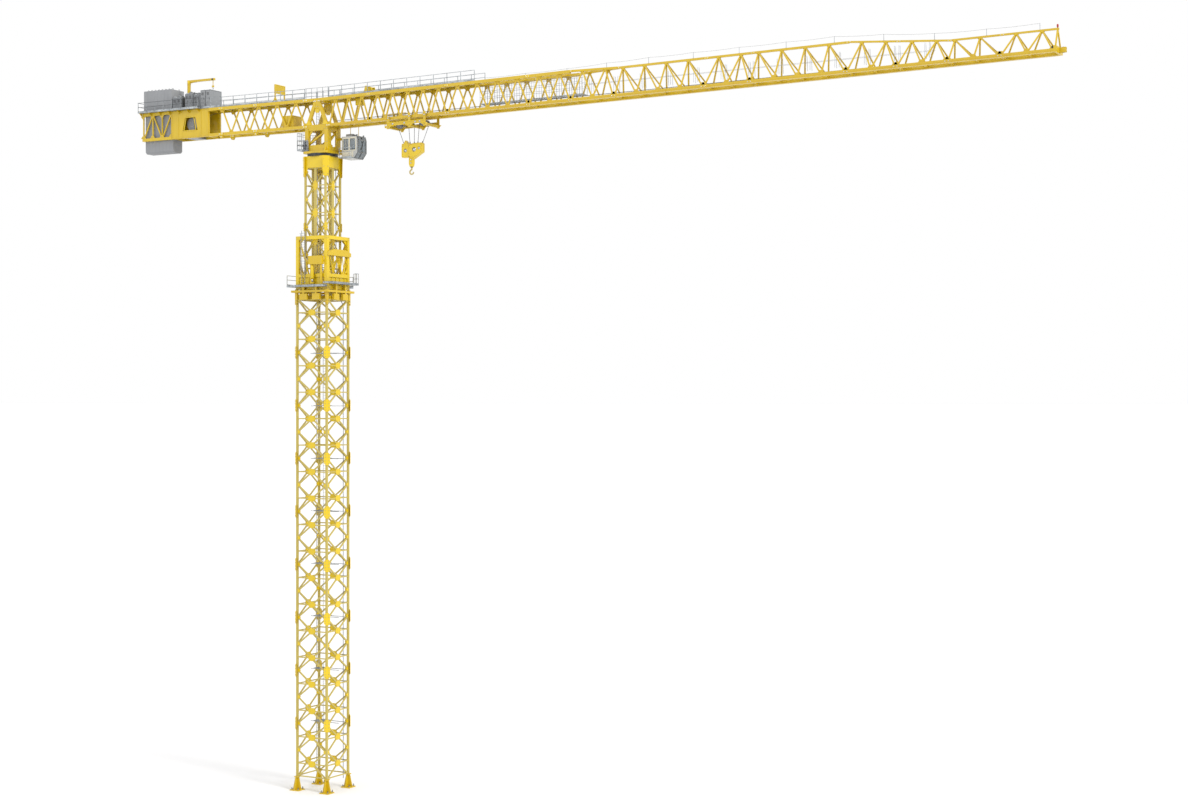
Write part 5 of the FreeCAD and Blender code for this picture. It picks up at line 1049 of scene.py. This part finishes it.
for i in range(8):
    x1 = -2.0656 - i * 0.0515 - 0.0003
    x0 = x1 - 0.0509
    c = 0.0006
    slabs.hull([slab_ring(x0, c), slab_ring(x0 + c, 0), slab_ring(x1 - c, 0), slab_ring(x1, c)], 0)
    xm = (x0 + x1) / 2
    for y in (-0.055, 0.055):
        slabs.path([(xm, y - 0.012, low + 0.724), (xm, y - 0.012, low + 0.736), (xm, y - 0.006, low + 0.742),
                    (xm, y + 0.006, low + 0.742), (xm, y + 0.012, low + 0.736), (xm, y + 0.012,
                                                                                 low + 0.724)], 0.0022, 1, 6)
    for s in (-1, 1):
        slabs.box(xm - 0.012, xm + 0.012, s * 0.111, s * 0.076, SLAB_SHOULDER, SLAB_SHOULDER + 0.005, 1)
slabs_obj = slabs.done()
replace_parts(slabs_obj, "counterweights")

rear = Piece("rear_frame_details", "slewing_top", "yellow_paint", YELLOW, ZINC, YELLOW_FRESH)
bay_len = (2.496 - 2.060 - 0.018) / 3
for i in range(4):
    x = -(2.060 + 0.009 + i * bay_len)
    for s in (-1, 1):
        y = s * 0.1095
        for zc, up in ((CHORD_LOW + CHORD_HEIGHT, 1), (TRUSS_TOP - CHORD_HEIGHT, -1)):
            c = Vector((x, y, zc))
            reach, shoulder = (0.034, 0.012) if i else (0.006, 0.006)
            rear.plate([c - X * 0.034, c + X * reach, c + X * shoulder + Z * up * 0.030,
                        c - X * 0.012 + Z * up * 0.030], Y * 0.004)
            for dx in (-0.018, -0.002):
                rear.bolt((x + dx, y + s * 0.002, zc + up * 0.010), (0, s, 0), 0.0024, 0.002, 1)
rear.box(-2.5215, -2.510, -0.165, 0.165, DECK_TOP, DECK_TOP + 0.014, 2, 0.001)
rear.done()

# Service davit's fittings.
davit_foot = Piece("davit_foot", "slewing_top", "yellow_paint", YELLOW_FRESH)
for t in angles(6):
    c, s = math.cos(t), math.sin(t)
    base_at = Vector((DAVIT_X + 0.019 * c, 0.019 * s, DECK_TOP))
    reach = 0.0045
    davit_foot.plate([base_at, base_at + Vector((c, s, 0)) * reach, base_at + Z * 0.040],
                     Vector((-s, c, 0)) * 0.003)
davit_foot.turned((DAVIT_X, 0.0, DECK_TOP), Z, [(0, 0.0235), (0.005, 0.0235), (0.0051, 0.0200)], 0, 20)
davit_foot.turned((DAVIT_X, 0.0, 7.9560), Z,
                  [(0, 0.0205), (0.001, 0.0220), (0.0035, 0.0220), (0.0036, 0.0200)], 0, 24)
davit_foot.done()
davit = Piece("davit_details", "davit_arm", "yellow_paint", YELLOW_FRESH, STEEL, BLACK)
davit.turned((DAVIT_X, 0.0, 7.9612), Z,
             [(0, 0.0205), (0.0001, 0.0225), (0.004, 0.0225), (0.0041, 0.0202), (0.034, 0.0202),
              (0.0365, 0.0210), (0.0385, 0.0210)], 0, 24)
davit.plate([(-1.880, 0, 7.977), (-1.790, 0, 7.977), (-1.880, 0, 7.9640)], Y * 0.006)
davit.box(-1.850, -1.795, 0.0115, 0.030, 7.976, 7.9995, 0, 0.002)
davit.turned((-1.822, 0.030, 7.988), Y, [(0, 0.0080), (0.022, 0.0080), (0.024, 0.006)], 2, 14)
davit.turned((-1.546, -0.0200, 7.9885), Y,
             [(0, 0.0060), (0.002, 0.0100), (0.008, 0.0100), (0.0081, 0.0110), (0.032, 0.0110),
              (0.0321, 0.0100), (0.038, 0.0100), (0.040, 0.0060)], 1, 18)
davit.cube(-1.546, 0, 7.906, 0.022, 0.014, 0.016, 0, 0.003)
davit.path([(-1.546, 0, 7.894), (-1.546, 0, 7.887), (-1.539, 0, 7.883), (-1.539, 0, 7.877),
            (-1.546, 0, 7.873), (-1.553, 0, 7.877), (-1.553, 0, 7.881)], 0.0018, 1, 7)
davit.done()

# Portal over the counter-jib walkway: plain board with an edge frame.
board = Piece("portal_details", "slewing_top", "yellow_paint", YELLOW_FRESH)
for s in (-1, 1):
    bx = -0.594 + s * 0.007
    for y0, y1, z0, z1 in ((-0.090, 0.090, 7.838, 7.846), (-0.090, 0.090, 7.746, 7.754),
                           (-0.090, -0.082, 7.754, 7.838), (0.082, 0.090, 7.754, 7.838)):
        board.box(bx, bx + s * 0.002, y0, y1, z0, z1, 0, 0.0006)
for s in (-1, 1):
    board.plate([(-0.600, s * 0.084, 7.652), (-0.630, s * 0.084, 7.652), (-0.600, s * 0.084, 7.700)],
                Y * 0.005)
    board.plate([(-0.588, s * 0.084, 7.652), (-0.558, s * 0.084, 7.652), (-0.588, s * 0.084, 7.700)],
                Y * 0.005)
board.done()


# Tower head

head = Piece("head_details", "slewing_top", "yellow_paint", YELLOW_FRESH, BRIGHT, ZINC, GALV)
for sy in (-1, 1):
    y = sy * 0.100
    for sx in (-1, 1):
        head.plate([(sx * HEAD_LEG_X - sx * 0.0225, y, CHORD_LOW - 0.032),
                    (sx * HEAD_LEG_X - sx * 0.075, y, CHORD_LOW - 0.032),
                    (sx * HEAD_LEG_X - sx * 0.0225, y, CHORD_LOW - 0.090)], Y * 0.010)
        head.plate([(sx * 0.150, y, CHORD_LOW + 0.033), (sx * 0.080, y, CHORD_LOW + 0.033),
                    (sx * 0.098, y, CHORD_LOW + 0.080),
                    (sx * 0.120, y, CHORD_LOW + 0.080)], Y * 0.034)
        for dx in (-0.010, 0.010):
            head.tube((sx * 0.030 + dx, y - 0.0165, TRUSS_TOP - 0.030),
                      (sx * 0.030 + dx, y + 0.0165, TRUSS_TOP - 0.030), 0.006, 1, 12)
    head.plate([(-0.040, y, TRUSS_TOP - 0.110), (0.040, y, TRUSS_TOP - 0.110), (0.020, y, TRUSS_TOP - 0.160),
                (-0.020, y, TRUSS_TOP - 0.160)], Y * 0.010)
    for dx in (-0.030, 0, 0.030):
        head.bolt((dx, y + sy * 0.012, TRUSS_TOP - 0.092), (0, sy, 0), 0.004, 0.003, 2)
for sx in (-1, 1):
    head.beam((sx * HEAD_LEG_X, -0.080, TABLE_TOP + 0.075), (sx * HEAD_LEG_X, 0.080, CHORD_LOW - 0.034),
              0.012, 0.012, 0, X)
ladder(head, -0.090, 0.030, TABLE_TOP + 0.002, TRUSS_TOP, 0.045, 3)
for s in (-1, 1):
    for x in (-0.150, -0.075, 0.0, 0.075, 0.150):
        head.post(x, s * 0.1075, TRUSS_TOP, TRUSS_TOP + 0.118, 0.0045, 3)
    for h in (0.060, 0.116):
        head.tube((-0.160, s * 0.1075, TRUSS_TOP + h), (0.160, s * 0.1075, TRUSS_TOP + h), 0.0021, 3, 6)
grating(head, -0.162, 0.162, -0.098, 0.098, TRUSS_TOP + 0.004, 3)
head.done()

landing = Piece("head_landing", "slewing_top", "galvanised_steel", GALV)
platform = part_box("head_platform")
x0, y0 = platform[0][0], platform[0][1]
x1, y1 = platform[1][0], platform[1][1]
z0, z1 = platform[0][2], platform[1][2]
top = 7.272
for x in (x0 + 0.003, (x0 + x1) / 2, x1 - 0.003):
    for y in (y0 + 0.003, y1 - 0.003):
        landing.post(x, y, z0 + 0.006, top, 0.004)
for z in (z0 + 0.06, z0 + 0.112, z0 + 0.165, top - 0.002):
    for y in (y0 + 0.003, y1 - 0.003):
        landing.tube((x0 + 0.003, y, z), (x1 - 0.003, y, z), 0.0021, 0, 6)
    landing.tube((x0 + 0.003, y0 + 0.003, z), (x0 + 0.003, y1 - 0.003, z), 0.0021, 0, 6)
for k in range(1, 6):
    y = y0 + (y1 - y0) * k / 6
    landing.post(x0 + 0.003, y, z0 + 0.006, top, 0.003)
grating(landing, x0 + 0.004, x1 - 0.004, y0 + 0.004, y1 - 0.004, z0 + 0.0085, 0, 0.003, 0.008, 0.003)
landing.done()

# Cab

cab = Piece("cab_details", "slewing_top", "cab_paint", CAB, RUBBER, CREAM, BLACK, GALV)
CF, CL, CH = 0.455, 6.972, 7.215
YL, YH = 0.015, 0.190
sill, lintel = CL + 0.0875, CH - 0.020
for y, s in ((YL, -1), (YH, 1)):
    for a, b in ((0.263, 0.341), (0.350, 0.432)):
        for z in (sill, lintel):
            cab.beam((a, y + s * 0.001, z), (b, y + s * 0.001, z), 0.010, 0.003, 2, Y)
        for x in (a, b):
            cab.beam((x, y + s * 0.001, sill), (x, y + s * 0.001, lintel), 0.008, 0.004, 2, Y)
        if b < 0.35:
            cab.beam(((a + b) / 2, y + s * 0.001, sill), ((a + b) / 2, y + s * 0.001, lintel), 0.002, 0.003,
                     2, Y)
    cab.box(0.250, 0.345, y + s * 0.0015, y - s * 0.001, CL + 0.010, CL + 0.078, 2, 0.001)
    cab.box(0.352, 0.400, y + s * 0.0015, y - s * 0.001, CL + 0.012, CL + 0.078, 2, 0.001)
# Windscreen frame: bars along the front edges and down the middle.
front = [(0.407, CL), (CF, CL + 0.062), (CF, CH - 0.040), (CF - 0.014, CH)]
for (ax, az), (bx, bz) in zip(front, front[1:]):
    for y in (YL + 0.005, (YL + YH) / 2, YH - 0.005):
        w = 0.006 if y != (YL + YH) / 2 else 0.003
        cab.beam((ax, y, az), (bx, y, bz), w, 0.003, 1, (1, 0, 0.2))
for x, z in front:
    cab.beam((x, YL + 0.004, z), (x, YH - 0.004, z), 0.003, 0.005, 1, X)
# Wiper, door handle, grab rails, roof unit, lamps.
cab.beam((CF + 0.0015, 0.060, CL + 0.066), (CF + 0.0015, 0.118, CL + 0.155), 0.002, 0.002, 3)
cab.beam((CF + 0.002, 0.095, CL + 0.095), (CF + 0.002, 0.125, CL + 0.195), 0.0022, 0.003, 3)
cab.box(0.336, 0.340, YH, YH + 0.004, CL + 0.100, CL + 0.124, 3, 0.001)
for y, s in ((YL - 0.005, 1), (YH + 0.004, -1)):
    cab.path([(0.252, y + s * 0.004, CL + 0.222), (0.252, y, CL + 0.217), (0.252, y, CL + 0.050),
              (0.252, y + s * 0.004, CL + 0.045)], 0.0016, 4, 6)
cab.done()

cab_roof = Piece("cab_roof_unit", "slewing_top", "grey_paint", PALE, BLACK, LENS, GALV)
cab_roof.box(0.275, 0.360, 0.050, 0.155, CH + 0.001, CH + 0.030, 0, 0.004)
for k in range(7):
    cab_roof.box(0.3603, 0.3612, 0.060, 0.145, CH + 0.006 + k * 0.003, CH + 0.0074 + k * 0.003, 1)
cab_roof.turned((0.318, 0.102, CH + 0.030), Z, [(0, 0.024), (0.002, 0.026), (0.005, 0.026), (0.0051, 0.020)],
                1, 22)
for y in (0.040, 0.165):
    cab_roof.path([(0.420, y, CH), (0.424, y, CH + 0.008), (0.430, y, CH + 0.012)], 0.0015, 3, 6)
    cab_roof.turned((0.426, y, CH + 0.016), (0.8, 0, -0.6),
                    [(0, 0.004), (0.002, 0.009), (0.012, 0.010), (0.0121, 0.009)], 1, 14)
    cab_roof.turned((0.4357, y, CH + 0.0087), (0.8, 0, -0.6), [(0, 0.0088), (0.0012, 0.0085)], 2, 14)
cab_roof.done()

inside = Piece("cab_interior", "slewing_top", "dark_steel", FABRIC, BLACK, SCREEN, GREY, RED)
inside.box(0.255, 0.400, 0.024, 0.181, CL + 0.0065, CL + 0.009, 3)
inside.box(0.310, 0.356, 0.078, 0.126, CL + 0.036, CL + 0.052, 0, 0.006)
inside.hull([[(0.306, y, CL + 0.050), (0.318, y, CL + 0.048), (0.306, y, CL + 0.128),
              (0.294, y, CL + 0.128)] for y in (0.080, 0.124)], 0)
inside.box(0.292, 0.303, 0.090, 0.114, CL + 0.130, CL + 0.150, 0, 0.004)
inside.tube((0.332, 0.102, CL + 0.008), (0.332, 0.102, CL + 0.038), 0.010, 1, 14)
for s in (-1, 1):
    y = 0.102 + s * 0.036
    inside.box(0.318, 0.372, y - 0.009, y + 0.009, CL + 0.050, CL + 0.064, 1, 0.003)
    inside.tube((0.360, y, CL + 0.064), (0.364, y, CL + 0.082), 0.0022, 1, 8)
    inside.turned((0.364, y, CL + 0.080), Z, [(0, 0.0035), (0.004, 0.005), (0.010, 0.005), (0.014, 0.0025)],
                  1, 12)
inside.hull([[(0.395, y, CL + 0.112), (0.399, y, CL + 0.112), (0.405, y, CL + 0.142),
              (0.401, y, CL + 0.142)] for y in (0.142, 0.172)], 2)
inside.tube((0.399, 0.157, CL + 0.010), (0.401, 0.157, CL + 0.114), 0.0025, 1, 8)
inside.turned((0.300, 0.168, CL + 0.009), Z, [(0, 0.010), (0.034, 0.010), (0.040, 0.006)], 4, 14)
inside.done()


# Trolley

LEGS = ((-0.231, 0.032), (0.041, 0.056), (0.235, 0.056))
SHEAVES = ((-0.171, 0.033), (-0.019, 0.026), (0.120, 0.025), (0.176, 0.025))
trolley = Piece("trolley_details", "trolley", "yellow_paint", YELLOW_FRESH, BRIGHT, ZINC, GREY)
trolley.tilt = TILT
for side in (-1, 1):
    y = side * 0.139
    for place, rise in LEGS:
        x = TROLLEY_X + place
        trolley.turned((x, side * 0.1392, CHORD_LOW + 0.0183), (0, side, 0), pin_cap(0.0085, 0.005), 1, 14)
        trolley.bolt((x, side * 0.139, CHORD_LOW - 0.018), (0, side, 0), 0.0034, 0.003, 2)
        trolley.bolt((x, side * 0.139, CHORD_LOW - 0.080), (0, side, 0), 0.0034, 0.003, 2)
        for s in (-1, 1):
            a = Vector((x + s * 0.014, side * 0.136, CHORD_LOW - 0.066))
            trolley.plate([a, a + X * s * 0.026, a - Z * 0.024], Y * 0.005)
    for place, _ in SHEAVES:
        trolley.turned((TROLLEY_X + place, side * 0.1392, CHORD_LOW - SHEAVE_DROP), (0, side, 0),
                       pin_cap(0.010, 0.006), 1, 14)
    trolley.box(TROLLEY_X - 0.250, TROLLEY_X + 0.250, y, y + side * 0.003, CHORD_LOW - 0.036,
                CHORD_LOW - 0.030, 0, 0.0006)
    trolley.box(TROLLEY_X - 0.250, TROLLEY_X + 0.250, y, y + side * 0.003, CHORD_LOW - 0.066,
                CHORD_LOW - 0.060, 0, 0.0006)
for place, r in SHEAVES:
    for y in (-0.014, 0.014):
        for s in (-1, 1):
            trolley.turned((TROLLEY_X + place, y + s * 0.0050, CHORD_LOW - SHEAVE_DROP), (0, s, 0),
                           [(0, r - 0.002), (0.0005, r + 0.0015), (0.0018, r + 0.0015),
                            (0.0019, r - 0.006)], 3, 30)
            trolley.turned((TROLLEY_X + place, y + s * 0.0050, CHORD_LOW - SHEAVE_DROP), (0, s, 0),
                           [(0, 0.012), (0.004, 0.012), (0.0041, 0.007)], 1, 16)
# Rope anchor and slack-rope guard at the trolley's ends.
for s in (-1, 1):
    trolley.box(TROLLEY_X + s * 0.233 - 0.008, TROLLEY_X + s * 0.233 + 0.008, -0.020, 0.020,
                CHORD_LOW - 0.066, CHORD_LOW - 0.054, 3, 0.002)
trolley.done()

basket = Piece("basket_mesh", "trolley", "yellow_paint", YELLOW_FRESH, GALV)
basket.tilt = TILT
bx0, bx1 = TROLLEY_X - 0.463, TROLLEY_X - 0.193
by0, by1 = 0.139, 0.205
bz0, bz1 = CHORD_LOW - 0.035, CHORD_LOW + 0.115
for i in range(1, 38):
    x = bx0 + (bx1 - bx0) * i / 38
    basket.box(x - 0.0006, x + 0.0006, by1 - 0.0032, by1 - 0.0020, bz0 + 0.004, bz1 - 0.004, 1)
for i in range(1, 7):
    z = bz0 + 0.052 * i / 6
    basket.box(bx0 + 0.002, bx1 - 0.002, by1 - 0.0036, by1 - 0.0024, z - 0.0006, z + 0.0006, 1)
for i in range(24):
    x = bx0 + 0.008 + (bx1 - bx0 - 0.016) * i / 23
    basket.box(x - 0.0009, x + 0.0009, by0 + 0.006, by1 - 0.006, bz0 + 0.005, bz0 + 0.0072, 1)
basket.tube((bx0 + 0.003, by1 - 0.0025, bz1 + 0.001), (bx1 - 0.003, by1 - 0.0025, bz1 + 0.001), 0.0028, 0, 8)
basket.done()


# Hook block

BX = TROLLEY_X * math.cos(PITCH)
block = Piece("hook_block_details", "hook_block", "yellow_paint", YELLOW_FRESH, BRIGHT, ZINC)
left = BX - 0.131
for s in (-1, 1):
    small_rim = [(0.002, -0.020), (0.009, -0.024), (0.048, 0.028), (0.094, -0.020), (0.094, -0.148),
                 (0.012, -0.148), (0.002, -0.140)]
    large_rim = [(0.098, -0.022), (0.175, -0.003), (0.252, -0.003), (0.259, -0.010), (0.259, -0.098),
                 (0.143, -0.165), (0.098, -0.134)]
    for rim, yy in ((small_rim, s * 0.0225), (large_rim, s * 0.0295)):
        for (ax, az), (bx, bz) in zip(rim, rim[1:] + rim[:1]):
            block.beam((left + ax, yy, BLOCK_TOP + az), (left + bx, yy, BLOCK_TOP + bz), 0.004, 0.004, 0, Y)
    for px, pz, r, yy in ((0.048, -0.075, 0.020, s * 0.022), (0.165, -0.070, 0.024, s * 0.029),
                          (0.226, -0.058, 0.014, s * 0.029)):
        block.turned((left + px, yy, BLOCK_TOP + pz), (0, s, 0),
                     [(0, r), (0.002, r), (0.0021, r * 0.6), (0.005, r * 0.6), (0.0051, r * 0.3)], 1, 22)
        for t in angles(6):
            block.bolt((left + px + math.cos(t) * r * 0.8, yy + s * 0.002,
                        BLOCK_TOP + pz + math.sin(t) * r * 0.8), (0, s, 0), 0.0017, 0.0014, 2)
    for px, pz in ((0.014, -0.030), (0.016, -0.136), (0.084, -0.136), (0.084, -0.030)):
        block.bolt((left + px, s * 0.022, BLOCK_TOP + pz), (0, s, 0), 0.0028, 0.0026, 2)
    for px, pz in ((0.106, -0.126), (0.250, -0.020), (0.190, -0.012), (0.250, -0.090), (0.146, -0.150)):
        block.bolt((left + px, s * 0.029, BLOCK_TOP + pz), (0, s, 0), 0.0028, 0.0026, 2)
    for z in (6.905, 6.870):
        block.turned((BX - 0.015, s * 0.017, z), (0, s, 0), pin_cap(0.0085, 0.005), 1, 16)
block.done()

hook = Piece("hook_details", "hook", "dark_steel", STEEL, BRIGHT)
hx, hz = BX - 0.015, 6.773
hook.turned((hx, 0, 6.8300), -Z, [(0, 0.0135), (0.001, 0.0150), (0.006, 0.0150), (0.008, 0.0120)], 0, 22)
hook.beam((hx + 0.005, 0, hz + 0.0175), (hx + 0.0210, 0, hz - 0.002), 0.006, 0.002, 1, Y)
hook.done()

# Sockets and clamps at the foot of each rope fall.
clamps = Piece("rope_sockets", "hook_block", "dark_steel", STEEL)
for index, below in enumerate((-0.124, -0.028, 0.008, 0.074, 0.116)):
    y = (-1 if index % 2 else 1) * 0.014
    clamps.turned((BX + below, y, 7.0822), Z,
                  [(0, 0.0050), (0.004, 0.0060), (0.010, 0.0052), (0.018, 0.0034), (0.0181, 0.0026)], 0, 12)
clamps.done()

# Rope falls: each leaves its sheave on the trolley and ends on the block.
falls = Piece("hoist_rope_falls", None, "wire_rope", ROPE)
level, foot = 7.28986, 7.083
for index, (place, radius, side, below) in enumerate((
        (-0.171, 0.033, -1, -0.124), (-0.019, 0.026, -1, -0.028), (-0.019, 0.026, 1, 0.008),
        (0.120, 0.025, -1, 0.074), (0.176, 0.025, 1, 0.116))):
    dx = place * math.cos(PITCH) + SHEAVE_DROP * math.sin(PITCH) - below
    dz = level + place * math.sin(PITCH) - foot
    steep = math.atan2(dz, dx) - side * math.asin((radius + 0.0028) / math.hypot(dx, dz))
    y = (-1 if index % 2 else 1) * 0.014
    falls.tube((BX + below + (level - foot) / math.tan(steep), y, level), (BX + below, y, foot), 0.0025, 0,
               12)
falls_obj = falls.done()
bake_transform(falls_obj)
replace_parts(falls_obj, "hoist_ropes")


# Materials of the carried-over part

NODE_LOOKS = {"hook": HOOK_PAINT, "hoist_winch": GREY, "trolley_wheels": GREY, "climbing_frame": YELLOW_FRESH,
              "trolley_basket": YELLOW_FRESH,
              "hook_block": YELLOW_FRESH, "ring_support": YELLOW_FRESH, "slewing_drives": GREY}
# The mast and inner mast nodes take the duller, greyer yellow, which is painted shade for their thin members.
NODE_LOOKS.update({node: SHADED_YELLOW for node in frame["nodes"] if node.startswith(("mast_", "inner_"))})
shared = {entry["node"]: entry["material_slot"] for entry in frame["record"]["subparts"]}
for node, obj in frame["nodes"].items():
    material = NODE_LOOKS.get(node, SLOTS[shared[node]])
    for index in range(max(1, len(obj.material_slots))):
        if not obj.material_slots:
            obj.data.materials.append(material)
        obj.material_slots[index].material = material


# Floor, light and camera

bpy.ops.mesh.primitive_plane_add(size=3000, location=(0, 0, 0))
ground = bpy.context.object
ground.name = "floor"
s = Shader("floor", 0.0, (0.85, 0.95))
tone = s.noise(0.25, 3.0)
ground.data.materials.append(s.finish(s.ramp(tone,
                                             [(0.3, linear(233, 233, 234)),
                                              (0.7, linear(236, 236, 237))]), tone))

world = bpy.data.worlds.new("sky")
bpy.context.scene.world = world
world.use_nodes = True
world.node_tree.nodes["Background"].inputs["Color"].default_value = (1.0, 1.0, 1.0, 1.0)
world.node_tree.nodes["Background"].inputs["Strength"].default_value = 1.0


def sun(name, direction, strength, angle, colour=(1, 1, 1)):
    """Soft distant light shining along direction."""
    data = bpy.data.lights.new(name, "SUN")
    data.energy = strength
    data.angle = math.radians(angle)
    data.color = colour
    obj = bpy.data.objects.new(name, data)
    bpy.context.scene.collection.objects.link(obj)
    obj.rotation_euler = Vector(direction).to_track_quat("-Z", "Y").to_euler()
    return obj


sun("key", (-0.86, 0.22, -0.62), 1.7, 14, (1.0, 0.98, 0.94))
sun("fill", (0.45, 0.75, -0.35), 0.35, 40)

camera_data = bpy.data.cameras.new("photo_view")
camera_data.lens = 59.1
camera_data.sensor_width = 36.0
camera_data.clip_end = 4000
camera = bpy.data.objects.new("photo_view", camera_data)
bpy.context.scene.collection.objects.link(camera)
camera.location = (12.907, -17.62, 4.31)
camera.rotation_euler = (math.radians(90), 0, math.atan2(0.474, 0.880))
bpy.context.scene.camera = camera
bpy.context.scene.view_settings.view_transform = "Standard"
